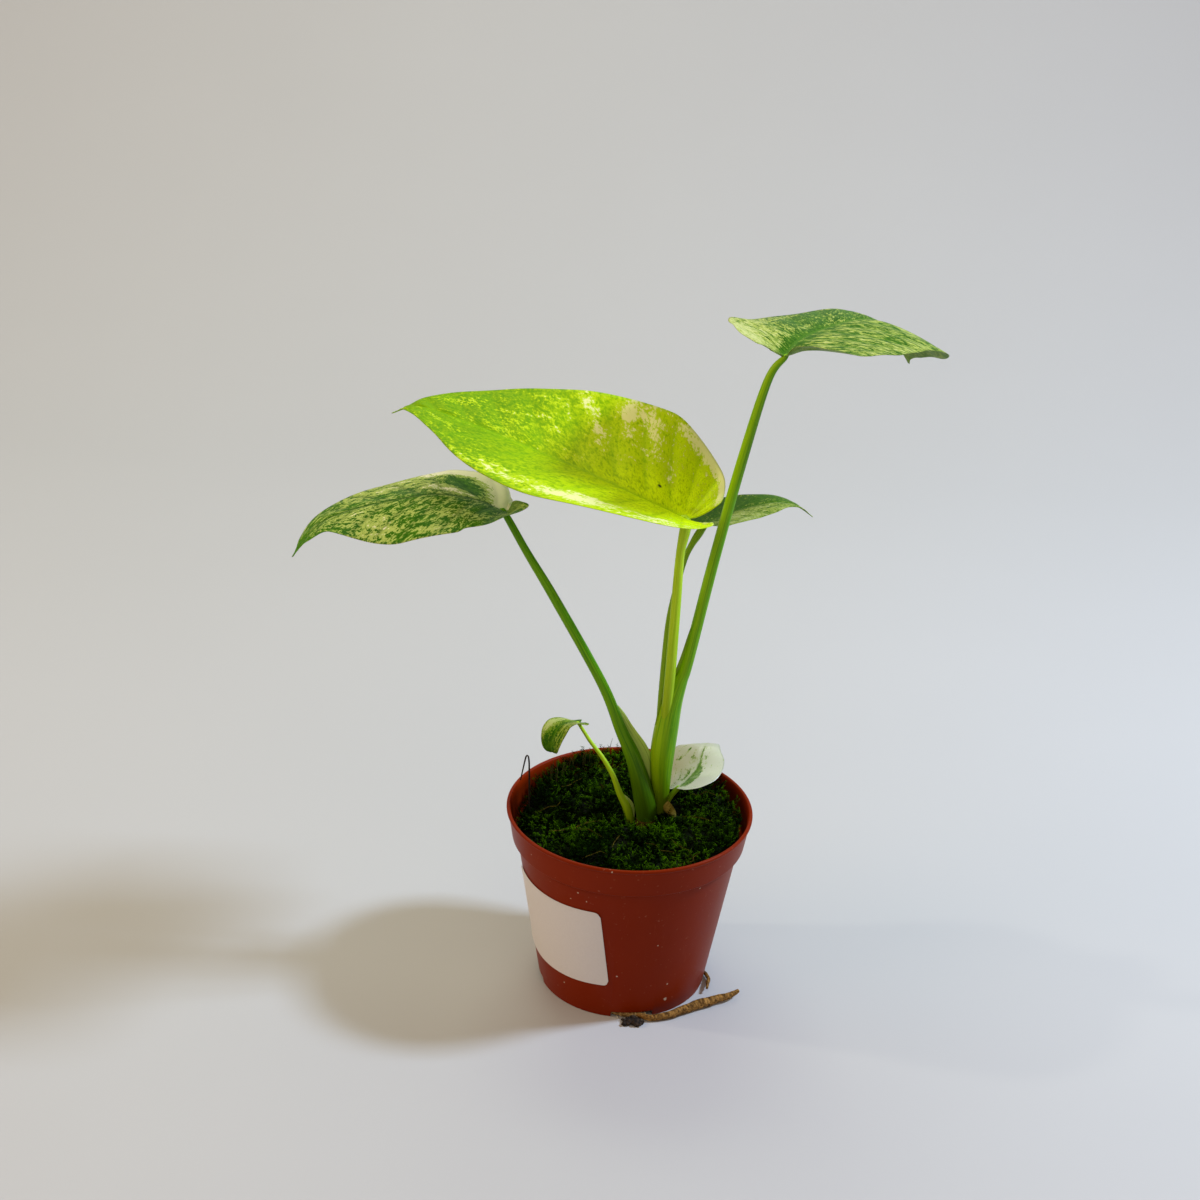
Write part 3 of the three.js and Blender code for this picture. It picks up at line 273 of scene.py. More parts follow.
# Where a blade is paler (above 0) or greener (below 0) than its marbling alone would make it, as rows of:
# side (0 left, 1 right), place around the margin, place out from the midrib, the two spreads, how much.
PATCHES = {
    "lime": [
        (1, 0.558, 0.87, 0.014, 0.16, 0.55), (1, 0.479, 0.9, 0.03, 0.12, 0.6),
        (1, 0.546, 0.6, 0.01, 0.2, 0.55), (1, 0.617, 0.5, 0.012, 0.12, 0.35),
        (1, 0.704, 0.2, 0.016, 0.1, 0.3), (1, 0.412, 0.37, 0.016, 0.16, 0.4),
        (1, 0.45, 0.65, 0.014, 0.26, 0.35), (1, 0.34, 1.0, 0.05, 0.13, 0.95),
        (1, 0.26, 1.0, 0.06, 0.16, 0.9), (1, 0.2, 0.85, 0.05, 0.15, 0.5), (1, 0.5, 0.75, 0.01, 0.2, 0.35),
        (1, 0.59, 0.75, 0.008, 0.15, 0.35), (0, 0.62, 0.88, 0.03, 0.12, 0.5),
        (0, 0.58, 0.8, 0.03, 0.12, 0.55), (0, 0.526, 0.76, 0.03, 0.12, 0.6),
        (0, 0.48, 0.78, 0.03, 0.14, 0.6), (0, 0.42, 0.8, 0.04, 0.14, 0.45),
        (0, 0.34, 0.85, 0.04, 0.12, 0.25), (0, 0.66, 0.35, 0.1, 0.3, -0.4), (0, 0.5, 0.3, 0.15, 0.2, -0.15),
        (1, 0.47, 0.2, 0.08, 0.2, -0.3), (0, 0.15, 0.9, 0.08, 0.3, 0.7), (1, 0.4, 0.65, 0.1, 0.4, 0.2),
        (0, 0.3, 0.85, 0.12, 0.3, 0.25), (1, 0.86, 0.5, 0.08, 0.6, -0.3),
    ],
    "left": [
        (1, 0.33, 0.8, 0.085, 0.8, 1.5), (1, 0.37, 0.15, 0.035, 0.4, 0.9), (1, 0.2, 0.8, 0.12, 0.8, 1.2),
        (1, 0.47, 0.97, 0.07, 0.14, 1.3), (1, 0.462, 0.4, 0.026, 0.4, -0.5),
        (1, 0.555, 0.37, 0.03, 0.12, 0.5), (1, 0.515, 0.24, 0.028, 0.09, 0.65),
        (1, 0.48, 0.13, 0.024, 0.05, 0.7), (1, 0.6, 0.8, 0.08, 0.3, 0.15), (0, 0.6, 0.67, 0.05, 0.25, 0.15),
        (0, 0.45, 0.6, 0.25, 0.4, 0.07), (0, 0.38, 0.3, 0.1, 0.25, -0.2), (0, 0.7, 0.5, 0.06, 0.3, 0.15),
        (0, 0.92, 0.5, 0.08, 1.0, -0.35), (1, 0.92, 0.5, 0.08, 1.0, -0.35),
    ],
    "top": [
        (0, 0.3, 0.8, 0.14, 0.5, 0.45), (0, 0.6, 0.6, 0.12, 0.4, -0.1), (1, 0.42, 0.65, 0.12, 0.4, 0.05),
        (0, 0.4, 0.05, 0.2, 0.08, -0.35), (1, 0.4, 0.05, 0.2, 0.06, -0.3), (1, 0.7, 0.5, 0.15, 0.6, 0.02),
        (0, 0.75, 0.5, 0.2, 0.6, -0.12),
    ],
    "back": [(1, 0.5, 0.6, 0.25, 0.5, 0.3), (0, 0.5, 0.5, 0.4, 0.6, -0.25)],
    "small_left": [
        (0, 0.5, 0.5, 0.25, 0.5, 0.2), (0, 0.4, 0.6, 0.15, 0.5, 0.3), (1, 0.55, 0.7, 0.1, 0.3, 0.75),
        (1, 0.42, 0.4, 0.1, 0.4, 0.4), (0, 0.66, 0.95, 0.15, 0.1, 0.5), (1, 0.8, 0.5, 0.12, 0.6, -0.4),
    ],
    "small_white": [
        (1, 0.39, 0.2, 0.06, 0.13, -1.0), (1, 0.46, 0.2, 0.06, 0.13, -1.0),
        (1, 0.53, 0.2, 0.05, 0.13, -0.95), (1, 0.6, 0.12, 0.05, 0.07, -0.9),
        (1, 0.68, 0.14, 0.05, 0.06, -0.8), (0, 0.5, 0.12, 0.06, 0.07, -0.7),
        (0, 0.64, 0.3, 0.025, 0.05, -0.7), (0, 0.45, 0.45, 0.15, 0.25, -0.25),
        (0, 0.6, 0.66, 0.013, 0.05, -0.9), (0, 0.66, 0.55, 0.01, 0.04, -0.8),
        (1, 0.62, 0.38, 0.012, 0.04, -0.8), (1, 0.55, 0.6, 0.01, 0.04, -0.6),
    ],
}

# Colours of the petioles: the green and its streaks, the membranes, the painted light of the yellow side and
# the painted shade of the foot.
PETIOLE_LOOKS = {
    "petiole_green": {"green": (0.055, 0.23, 0.0005), "streak": (0.16, 0.4, 0.003),
                      "pale": (0.72, 0.86, 0.24), "warm": (0.26, 0.48, 0.003), "foot": (0.035, 0.09, 0.0005)},
    "petiole_sheath": {"green": (0.09, 0.3, 0.0005), "streak": (0.18, 0.42, 0.003),
                       "pale": (0.4, 0.55, 0.05), "warm": (0.32, 0.55, 0.002), "foot": (0.08, 0.14, 0.0005)},
    "petiole_lime": {"green": (0.36, 0.62, 0.004), "streak": (0.52, 0.74, 0.03), "pale": (0.6, 0.7, 0.24),
                     "warm": (0.5, 0.68, 0.01), "foot": (0.17, 0.3, 0.001)},
    "petiole_mid_green": {"green": (0.14, 0.34, 0.004), "streak": (0.3, 0.48, 0.02),
                          "pale": (0.6, 0.7, 0.24), "warm": (0.3, 0.48, 0.01), "foot": (0.1, 0.18, 0.001)},
}


# Numbers along curves

def at_knots(values, share):
    """Smooth interpolation in values, or rows of values, spread evenly over 0 to 1."""
    values = np.asarray(values, float)
    share = np.asarray(share, float)
    x = np.clip(share, 0, 1) * (len(values) - 1)
    i = np.minimum(x.astype(int), len(values) - 2)
    t = (x - i).reshape(x.shape + (1,) * (values.ndim - 1))
    ends = np.concatenate([[2 * values[0] - values[1]], values, [2 * values[-1] - values[-2]]])
    a, b, c, d = ends[i], ends[i + 1], ends[i + 2], ends[i + 3]
    return 0.5 * (2 * b + (c - a) * t + (2 * a - 5 * b + 4 * c - d) * t**2 + (3 * b - a - 3 * c + d) * t**3)


def unit(v):
    return v / np.linalg.norm(v, axis=-1, keepdims=True)


def along_curve(points, count):
    """Evenly spaced points and tangents along a smooth curve, with each point's share of the knots."""
    fine = np.linspace(0, 1, 401)
    line = at_knots(points, fine)
    run = np.r_[0, np.cumsum(np.linalg.norm(np.diff(line, axis=0), axis=1))]
    knot = np.interp(np.linspace(0, run[-1], count + 1), run, fine)
    places = at_knots(points, knot)
    return places, unit(np.gradient(places, axis=0)), knot, run[-1]


def carried(tangents, normal):
    """A normal carried along the tangents without twist."""
    normals = []
    for tangent in tangents:
        normal = normal - tangent * (normal @ tangent)
        normal = normal / np.linalg.norm(normal)
        normals.append(normal)
    return np.array(normals)


def smooth(low, high, x):
    t = np.clip((x - low) / (high - low), 0, 1)
    return t * t * (3 - 2 * t)


# Meshes

def make_mesh(name, points, faces, material, uv=None, marks=None, smooth_angle=None):
    """A mesh object from millimetre points. marks are point attributes that its material reads."""
    mesh = bpy.data.meshes.new(name)
    mesh.from_pydata((np.asarray(points) * MM).tolist(), [], faces)
    mesh.polygons.foreach_set("use_smooth", [True] * len(mesh.polygons))
    if smooth_angle is not None:
        mesh.set_sharp_from_angle(angle=math.radians(smooth_angle))
    if uv is not None:
        corner = np.zeros(len(mesh.loops), int)
        mesh.loops.foreach_get("vertex_index", corner)
        layer = mesh.uv_layers.new(name="Along")
        layer.data.foreach_set("uv", np.asarray(uv, np.float32)[corner].ravel())
    for key, values in (marks or {}).items():
        mark = mesh.attributes.new(key, "FLOAT", "POINT")
        mark.data.foreach_set("value", np.asarray(values, np.float32))
    mesh.materials.append(material)
    piece = bpy.data.objects.new(name, mesh)
    bpy.context.scene.collection.objects.link(piece)
    return piece


def placed(piece, *nodes, slot):
    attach(piece, "root")
    if nodes:
        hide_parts(*nodes)
    return piece


def grid_faces(rows, wide, closed=False, start=0, flip=False):
    """Quads of a grid of rows by wide points, row by row, closed into a ring or not."""
    faces = []
    for i in range(rows - 1):
        for k in range(wide if closed else wide - 1):
            a, b = start + i * wide + k, start + i * wide + (k + 1) % wide
            quad = (a, b, b + wide, a + wide)
            faces.append(quad[::-1] if flip else quad)
    return faces


def hem(rows, wide, total):
    """Quads that close the rim between an upper grid of points and the lower one that follows it."""
    edge = list(range(wide)) + [i * wide + wide - 1 for i in range(1, rows)]
    edge += [(rows - 1) * wide + k for k in range(wide - 2, -1, -1)]
    edge += [i * wide for i in range(rows - 2, 0, -1)]
    after = edge[1:] + edge[:1]
    return [(b, a, a + total, b + total) for a, b in zip(edge, after)]


def shell(upper, lower, rows, wide):
    """Points and faces of a closed sheet between two grids of points."""
    total = rows * wide
    points = np.vstack([upper.reshape(-1, 3), lower.reshape(-1, 3)])
    faces = grid_faces(rows, wide) + grid_faces(rows, wide, start=total, flip=True)
    return points, faces + hem(rows, wide, total)


def end_fans(count, foot, last, head):
    """Triangles that close a stack of rings: the first ring towards foot, the last one towards head."""
    faces = [(foot, (k + 1) % count, k) for k in range(count)]
    return faces + [(head, last + k, last + (k + 1) % count) for k in range(count)]


def joined(parts):
    """Points, faces and UVs of several parts as those of one."""
    faces, total = [], 0
    for points, part_faces, _ in parts:
        faces += [tuple(total + i for i in face) for face in part_faces]
        total += len(points)
    return np.vstack([part[0] for part in parts]), faces, np.vstack([part[2] for part in parts])


def merge_close(piece, distance=0.004):
    """Welds points that fall together, such as the veins' common start."""
    shape = bmesh.new()
    shape.from_mesh(piece.data)
    bmesh.ops.remove_doubles(shape, verts=shape.verts, dist=distance * MM)
    bmesh.ops.dissolve_degenerate(shape, edges=shape.edges, dist=distance * MM / 4)
    bmesh.ops.recalc_face_normals(shape, faces=shape.faces)
    shape.to_mesh(piece.data)
    shape.free()


def ring_points(places, tangents, normals, ring, turn):
    """Points of a tube whose radii are given for each place along it and each turn around it."""
    across = np.cross(tangents, normals)
    ahead = normals[:, None] * (ring * np.cos(turn))[..., None]
    sideways = across[:, None] * (ring * np.sin(turn))[..., None]
    return (places[:, None] + ahead + sideways).reshape(-1, 3)


def ring_uv(turn, distance):
    return np.stack(np.broadcast_arrays(turn / TURN, distance[:, None]), -1).reshape(-1, 2)


def tube(path, radius, sides, steps, lumps=0.0, seed=0):
    """Points, faces and UVs of a closed tube that tapers along a curve, with optional seeded lumps."""
    places, tangents, knot, length = along_curve(path, steps)
    start = np.cross(tangents[0], (0, 0, 1.0) if abs(tangents[0][2]) < 0.9 else (0, 1.0, 0))
    size = at_knots(radius, knot)
    turn = np.linspace(0, TURN, sides, endpoint=False)
    rng = np.random.default_rng(seed)
    bumps = np.ones((steps + 1, sides))
    for wave in range(1, 5) if lumps else ():
        phase = rng.uniform(0, TURN, 3)
        beat = TURN * wave * 3 * np.linspace(0, 1, steps + 1)[:, None]
        sway = np.sin(beat + phase[0] + np.sin(turn * wave + phase[1]))
        bumps += lumps / wave * sway * np.cos(turn + phase[2])
    rings = ring_points(places, tangents, carried(tangents, start), size[:, None] * bumps, turn)
    foot = places[0] - tangents[0] * size[0] * 0.3
    head = places[-1] + tangents[-1] * size[-1] * 0.6
    faces = grid_faces(steps + 1, sides, closed=True)
    faces += end_fans(sides, len(rings), steps * sides, len(rings) + 1)
    uv = np.vstack([ring_uv(turn, np.linspace(0, length, steps + 1)), (0, 0), (0, length)])
    return np.vstack([rings, foot, head]), faces, uv


def lathe(profile, segments):
    """Points and faces of a closed turned shape whose profile starts and ends on the axis."""
    turn = np.linspace(0, TURN, segments, endpoint=False)
    inner = np.array(profile[1:-1], float)
    rings = np.stack([inner[:, :1] * np.sin(turn), -inner[:, :1] * np.cos(turn),
                      np.repeat(inner[:, 1:], segments, 1)], -1).reshape(-1, 3)
    points = np.vstack([rings, (0, 0, profile[0][1]), (0, 0, profile[-1][1])])
    faces = grid_faces(len(inner), segments, closed=True)
    faces += end_fans(segments, len(rings), len(rings) - segments, len(rings) + 1)
    return points, faces


# Materials

class Paint:
    """A material under construction: each method adds a node and gives back the socket that it feeds on."""

    def __init__(self, name):
        self.material = bpy.data.materials.new(name)
        self.material.use_nodes = True
        self.tree = self.material.node_tree
        self.tree.nodes.clear()

    def put(self, target, value):
        if isinstance(value, bpy.types.NodeSocket):
            self.tree.links.new(value, target)
        elif isinstance(value, tuple) and len(value) == 3 and target.type == "RGBA":
            target.default_value = (*value, 1)
        else:
            target.default_value = value

    def node(self, kind, settings=None, **inputs):
        made = self.tree.nodes.new("ShaderNode" + kind)
        for key, value in (settings or {}).items():
            setattr(made, key, value)
        for key, value in inputs.items():
            self.put(made.inputs[key.replace("_", " ")], value)
        return made

    def stretched(self, place, scale):
        return self.node("Mapping", Vector=place, Scale=scale).outputs["Vector"]

    def along(self, scale):
        return self.stretched(self.node("UVMap", {"uv_map": "Along"}).outputs["UV"], scale)

    def spot(self):
        return self.node("TexCoord").outputs["Object"]

    def mark(self, name):
        return self.node("Attribute", {"attribute_name": name}).outputs["Fac"]

    def noise(self, place, scale, detail=3.0, roughness=0.55, distortion=0.0):
        return self.node("TexNoise", Vector=place, Scale=scale, Detail=detail, Roughness=roughness,
                         Distortion=distortion).outputs[0]

    def maths(self, operation, a, b):
        made = self.node("Math", {"operation": operation})
        self.put(made.inputs[0], a)
        self.put(made.inputs[1], b)
        return made.outputs[0]

    def plus(self, a, b):
        return self.maths("ADD", a, b)

    def minus(self, a, b):
        return self.maths("SUBTRACT", a, b)

    def times(self, a, b):
        return self.maths("MULTIPLY", a, b)

    def far(self, place, point):
        """How far a place is from one point."""
        made = self.node("VectorMath", {"operation": "DISTANCE"}, Vector=place)
        made.inputs[1].default_value = point
        return made.outputs["Value"]

    def step(self, value, low, high, kind="SMOOTHSTEP"):
        made = self.node("MapRange", {"interpolation_type": kind}, Value=value)
        made.inputs["From Min"].default_value = low
        made.inputs["From Max"].default_value = high
        return made.outputs[0]

    def mix(self, share, a, b):
        made = self.node("Mix", {"data_type": "RGBA"})
        self.put(made.inputs[0], share)
        self.put(made.inputs[6], a)
        self.put(made.inputs[7], b)
        return made.outputs[2]

    def bump(self, height, distance, strength=1.0):
        return self.node("Bump", Height=height, Strength=strength, Distance=distance * MM).outputs["Normal"]

    def surface(self, colour, roughness, normal=None, through=None, **inputs):
        """The shader, with light let through a thin piece where through gives its colour and share."""
        made = self.node("BsdfPrincipled", Roughness=roughness)
        self.put(made.inputs["Base Color"], colour)
        for key, value in inputs.items():
            self.put(made.inputs[key.replace("_", " ")], value)
        if normal:
            self.put(made.inputs["Normal"], normal)
        shader = made.outputs[0]
        if through:
            thin = self.node("BsdfTranslucent")
            self.put(thin.inputs["Color"], through[0])
            if normal:
                self.put(thin.inputs["Normal"], normal)
            mixed = self.node("MixShader")
            self.put(mixed.inputs[0], through[1])
            self.put(mixed.inputs[1], shader)
            self.put(mixed.inputs[2], thin.outputs[0])
            shader = mixed.outputs[0]
        self.put(self.node("OutputMaterial").inputs["Surface"], shader)
        return self.material


def leaf_material(name):
    """Marbling stretched along the veins: green, then pale flecks, then cream as the noise rises."""
    look = {**LEAF_BASE, **LEAF_LOOKS[name]}
    paint = Paint("leaf_" + name)
    across, along = look["across"], look["along"]
    coarse = paint.noise(paint.along((across, along, 1)), 1.0, 3, 0.6, 0.3)
    fine = paint.noise(paint.along((across * 2.6, along * 2.4, 1)), 1.0, 4, 0.65, 0.25)
    clouds = paint.noise(paint.along((across / 9, along / 2.5, 1)), 1.0, 2, 0.5, 0.5)
    mottle = paint.plus(paint.times(coarse, 1 - look["fine"]), paint.times(fine, look["fine"]))
    shift = paint.times(paint.minus(clouds, 0.5), look["clouds"])
    value = paint.plus(mottle, paint.plus(shift, paint.times(paint.mark("pale"), 0.35)))
    colour = paint.mix(paint.step(mottle, 0.42, 0.56), look["deep"], look["light"])
    if "warm" in look:
        yellow = paint.times(paint.mark("near_stalk"), paint.step(mottle, 0.2, 0.62))
        colour = paint.mix(yellow, colour, look["warm"])
    colour = paint.mix(paint.step(value, *look["middle_from"]), colour, look["middle"])
    creamy = paint.step(value, *look["cream_from"])
    colour = paint.mix(creamy, colour, look["cream"])
    ribs = paint.times(paint.mark("rib"), paint.minus(look["ribs"], paint.times(creamy, 0.7)))
    colour = paint.mix(paint.maths("MAXIMUM", ribs, 0.0), colour, look["rib"])
    length, half = RELIEF["length"], BLADES[name]["half_width"][0]
    for side, around, out, size in look["dots"]:
        centre = (around * length, (out + SIDE_SHIFT * side) * half, 0)
        away = paint.far(paint.along((length, half, 1)), centre)
        colour = paint.mix(paint.step(away, size, size * 0.5, "LINEAR"), colour, (0.03, 0.06, 0.01))
    colour = paint.mix(paint.times(paint.mark("edge"), 0.2), colour, (0.2, 0.2, 0.04))
    colour = paint.mix(paint.times(paint.mark("under"), 0.6), colour, look["under"])
    grain = paint.noise(paint.along((across * 5, along * 9, 1)), 1.0, 2)
    shine = paint.plus(paint.times(grain, 0.14), look["rough"] - 0.07)
    normal = paint.bump(grain, 0.06, 0.5)
    return paint.surface(colour, shine, normal, (colour, look["through"]), Specular_IOR_Level=look["gloss"])


def petiole_material(name):
    """Fine streaks lengthways, painted light that makes the side facing left yellower, painted shade
    darkening it towards the moss, and paler on the membranes.
    """
    look = PETIOLE_LOOKS[name]
    paint = Paint(name)
    streaks = paint.noise(paint.along((34, 0.025, 1)), 1.0, 4, 0.6)
    colour = paint.mix(paint.step(streaks, 0.42, 0.6), look["green"], look["streak"])
    mottle = paint.noise(paint.along((6, 0.5, 1)), 1.0, 4, 0.6)
    colour = paint.mix(paint.times(paint.step(mottle, 0.5, 0.8), 0.4), colour, look["streak"])
    # Painted light: the side facing left is made lighter and yellower.
    colour = paint.mix(paint.times(paint.mark("warm"), paint.step(streaks, 0.3, 0.5)), colour, look["warm"])
    # Painted shade: the stalk darkens towards its foot in the moss.
    colour = paint.mix(paint.mark("foot"), colour, look["foot"])
    colour = paint.mix(paint.times(paint.mark("pale"), paint.step(streaks, 0.25, 0.5)), colour, look["pale"])
    thin = paint.plus(paint.times(paint.mark("pale"), 0.45), 0.08)
    normal = paint.bump(streaks, 0.08, 0.5)
    return paint.surface(colour, 0.4, normal, (colour, thin), Specular_IOR_Level=0.16)


def plastic_material():
    """Terracotta plastic with dust, rubs and pale scuffs, and painted shade on the inner wall of the collar.
    """
    paint = Paint("terracotta_plastic")
    spot = paint.spot()
    cloud = paint.noise(spot, 22, 4, 0.6)
    colour = paint.mix(cloud, (0.165, 0.0115, 0.0003), (0.2, 0.0175, 0.0005))
    dust = paint.step(paint.noise(spot, 420, 2, 0.7), 0.66, 0.74)
    colour = paint.mix(paint.times(dust, 0.22), colour, (0.42, 0.2, 0.13))
    rub = paint.step(paint.noise(paint.stretched(spot, (260, 260, 30)), 1.0, 3, 0.7), 0.64, 0.76)
    colour = paint.mix(paint.times(rub, 0.12), colour, (0.4, 0.11, 0.05))
    for angle, height, size in SCUFFS:
        turn = math.radians(angle)
        radius = collar_radius(height) if height > COLLAR_Z else body_radius(height)
        place = np.array((radius * math.sin(turn), -radius * math.cos(turn), height)) * MM
        jitter = paint.times(paint.noise(spot, 1500, 2), 1.4 * size * MM)
        ragged = paint.plus(paint.far(spot, place), jitter)
        colour = paint.mix(paint.step(ragged, 1.7 * size * MM, 1.1 * size * MM), colour, (0.5, 0.4, 0.3))
    # Painted shade: the inner wall of the collar, from the moss up towards the lip, is darkened towards near
    # black.
    flat = paint.node("VectorMath", {"operation": "MULTIPLY"}, Vector=spot)
    flat.inputs[1].default_value = (1, 1, 0)
    from_axis = paint.node("VectorMath", {"operation": "LENGTH"}, Vector=flat.outputs[0]).outputs["Value"]
    height = paint.node("SeparateXYZ", Vector=spot).outputs["Z"]
    leaning = paint.minus(from_axis, paint.times(height, COLLAR_SLOPE))
    wall = collar_radius(0) - POT["wall"]
    inner_wall_shade = paint.step(leaning, (wall + POT["wall"] / 2) * MM, wall * MM)
    inner_wall_shade = paint.times(inner_wall_shade, paint.step(height, 80 * MM, 82 * MM))
    inner_wall_shade = paint.times(inner_wall_shade, paint.step(height, 94 * MM, 90 * MM))
    colour = paint.mix(paint.times(inner_wall_shade, 0.6), colour, (0.03, 0.005, 0.0005))
    fine = paint.noise(spot, 900, 2)
    rough = paint.plus(paint.times(cloud, 0.16), 0.3)
    return paint.surface(colour, rough, paint.bump(fine, 0.03, 0.3), Specular_IOR_Level=0.055)


def paper_material():
    paint = Paint("label_paper")
    spot = paint.spot()
    fibres = paint.noise(spot, 900, 4, 0.7)
    colour = paint.mix(fibres, (0.58, 0.54, 0.52), (0.66, 0.62, 0.59))
    stain = paint.step(paint.noise(spot, 60, 3), 0.6, 0.75)
    colour = paint.mix(paint.times(stain, 0.12), colour, (0.6, 0.53, 0.45))
    return paint.surface(colour, 0.5, paint.bump(fibres, 0.02, 0.3), Specular_IOR_Level=0.35)


def earth_material(name, dark=(0.012, 0.008, 0.006), light=(0.06, 0.038, 0.024)):
    """Crumbly grains."""
    paint = Paint(name)
    spot = paint.spot()
    colour = paint.mix(paint.step(paint.noise(spot, 520, 5, 0.7), 0.4, 0.7), dark, light)
    lumps = paint.node("TexVoronoi", Vector=spot, Scale=700).outputs["Distance"]
    return paint.surface(colour, 0.95, paint.bump(lumps, 0.5), Specular_IOR_Level=0.2)


def bark_material(name, dark, light, rough=0.75):
    """Skin with rings across it and dark specks."""
    paint = Paint(name)
    rings = paint.noise(paint.along((3, 0.6, 1)), 1.0, 5, 0.7, 0.6)
    specks = paint.noise(paint.spot(), 380, 4, 0.65)
    colour = paint.mix(paint.step(rings, 0.38, 0.66), dark, light)
    colour = paint.mix(paint.step(specks, 0.5, 0.75), colour, dark)
    return paint.surface(colour, rough, paint.bump(rings, 0.3, 0.8), Specular_IOR_Level=0.06)


def moss_material():
    """Near black deep down, as painted shade, and green at the tips, brighter in patches and towards the
    right.
    """
    paint = Paint("moss_green")
    spot = paint.spot()
    patch = paint.times(paint.noise(spot, 34, 3, 0.6), 1.3)
    to_right = paint.times(paint.node("SeparateXYZ", Vector=spot).outputs["X"], 2.2)
    bright = paint.plus(paint.plus(patch, to_right), paint.times(paint.mark("clump"), 0.5))
    bright = paint.step(bright, 0.8, 1.3)
    # Painted shade: low is the near-black colour deep in the moss, high the green towards the tips.
    low = paint.mix(bright, (0.0004, 0.0014, 0.0002), (0.0015, 0.007, 0.0002))
    high = paint.mix(bright, (0.012, 0.04, 0.0005), (0.3, 0.78, 0.002))
    colour = paint.mix(paint.step(paint.mark("tip"), 0.4, 1.0), low, high)
    brown = paint.step(paint.noise(spot, 90, 3, 0.6), 0.66, 0.76)
    colour = paint.mix(paint.times(brown, 0.6), colour, (0.07, 0.05, 0.006))
    return paint.surface(colour, 0.8, None, (colour, 0.3), Specular_IOR_Level=0.015)


# Leaves

def by_side(right, pair):
    """The first of a pair left of the midrib and the second right of it."""
    return np.where(right, pair[1], pair[0])


def blade_surface(leaf, around, out_share):
    """Points of the blade for shares around the margin and signed shares out along the veins."""
    ribs, tangents, _, length = along_curve(leaf["midrib"], RIB_STEPS)
    normals = carried(tangents, np.array(leaf["normal"], float))
    start = np.maximum(at_knots(OUTLINE, around)[..., 2], 0)
    right = out_share >= 0
    share = np.abs(out_share)
    rows = OUTLINE[:, 0]
    reaches = [np.where(rows < 0, rows * lobe, rows) for lobe in leaf["lobe"]]
    widths = [OUTLINE[:, 1] * (1 + tip * OUTLINE[:, 3] + base * OUTLINE[:, 4])
              for tip, base in zip(leaf["near_tip"], leaf["near_base"])]
    reach, width = (by_side(right, [at_knots(row, around) for row in pair]) for pair in (reaches, widths))
    half = by_side(right, leaf["half_width"])
    along = start + (reach - start) * share
    out = np.maximum(width * half, LEAST_HALF_WIDTH) * share
    x = np.clip(along, 0, 1) * RIB_STEPS
    i = np.minimum(x.astype(int), RIB_STEPS - 1)
    t = (x - i)[..., None]
    point, tangent, normal = (a[i] * (1 - t) + a[i + 1] * t for a in (ribs, tangents, normals))
    twist = (math.radians(leaf["twist"]) * np.clip(along, 0, 1))[..., None]
    flat = np.cross(tangent, normal)
    across = flat * np.cos(twist) + normal * np.sin(twist)
    up = normal * np.cos(twist) - flat * np.sin(twist)
    fold, curl = (by_side(right, [at_knots(row, along) for row in leaf[key]]) for key in ("fold", "curl"))
    fold = np.radians(fold)
    behind = np.maximum(-along, 0)
    lift = np.radians(by_side(right, leaf["lift"])) * np.minimum(behind / LIFT_RAMP, 1)
    rise = behind * length * np.sin(lift) + out * np.sin(fold) - curl * out**2 / half
    place = point - tangent * (behind * length * np.cos(lift))[..., None]
    sideways = np.where(right, 1.0, -1.0) * out * np.cos(fold)
    place = place + up * rise[..., None] + across * sideways[..., None]
    return place, along, out, length


def on_side(out_share, side):
    return (out_share >= 0) == (side == 1)


def patch_marks(name, around, out_share):
    pale = np.zeros_like(around)
    for side, at, share, wide, deep, much in PATCHES[name]:
        far = ((around - at) / wide) ** 2 + ((np.abs(out_share) - share) / deep) ** 2
        pale += np.where(on_side(out_share, side), much * np.exp(-far), 0)
    return pale


def softened(place, spread):
    """Rows of points evened out along the margin, with the first and the last row kept."""
    reach = int(3 * spread)
    weights = np.exp(-0.5 * (np.arange(-reach, reach + 1) / spread) ** 2)
    weights /= weights.sum()
    before = 2 * place[:1] - place[reach:0:-1]
    after = 2 * place[-1:] - place[-2:-reach - 2:-1]
    padded = np.concatenate([before, place, after])
    return sum(w * padded[k:k + len(place)] for k, w in enumerate(weights))


def blade_form(leaf, rows, columns):
    """The blade's middle surface as rows along the margin, with the margin trimmed, nudged and softened."""
    around, out_share = np.meshgrid(np.linspace(0, 1, rows + 1), np.linspace(-1, 1, 2 * columns + 1),
                                    indexing="ij")
    kept = np.ones_like(around)
    for side, at, wide, depth in leaf.get("trims", []):
        kept -= np.where(on_side(out_share, side), depth * np.exp(-((around - at) / wide) ** 2), 0)
    place, along, out, length = blade_surface(leaf, around, out_share * kept)
    for side, at, wide, shift in leaf.get("nudges", []):
        much = np.exp(-((around - at) / wide) ** 2) * out_share**2 * on_side(out_share, side)
        place = place + much[..., None] * np.array(shift, float)
    place = softened(place, rows * 0.017)
    depth, spread = leaf.get("funnel", (0, 1))
    from_base = np.linalg.norm(place - np.array(leaf["midrib"][0], float), axis=-1)
    place[..., 2] -= depth * np.exp(-((from_base / spread) ** 2))
    return around, out_share, place, along, out, length


def twice(values):
    """A grid's values for both faces of a sheet."""
    return np.concatenate([values.ravel(), values.ravel()])


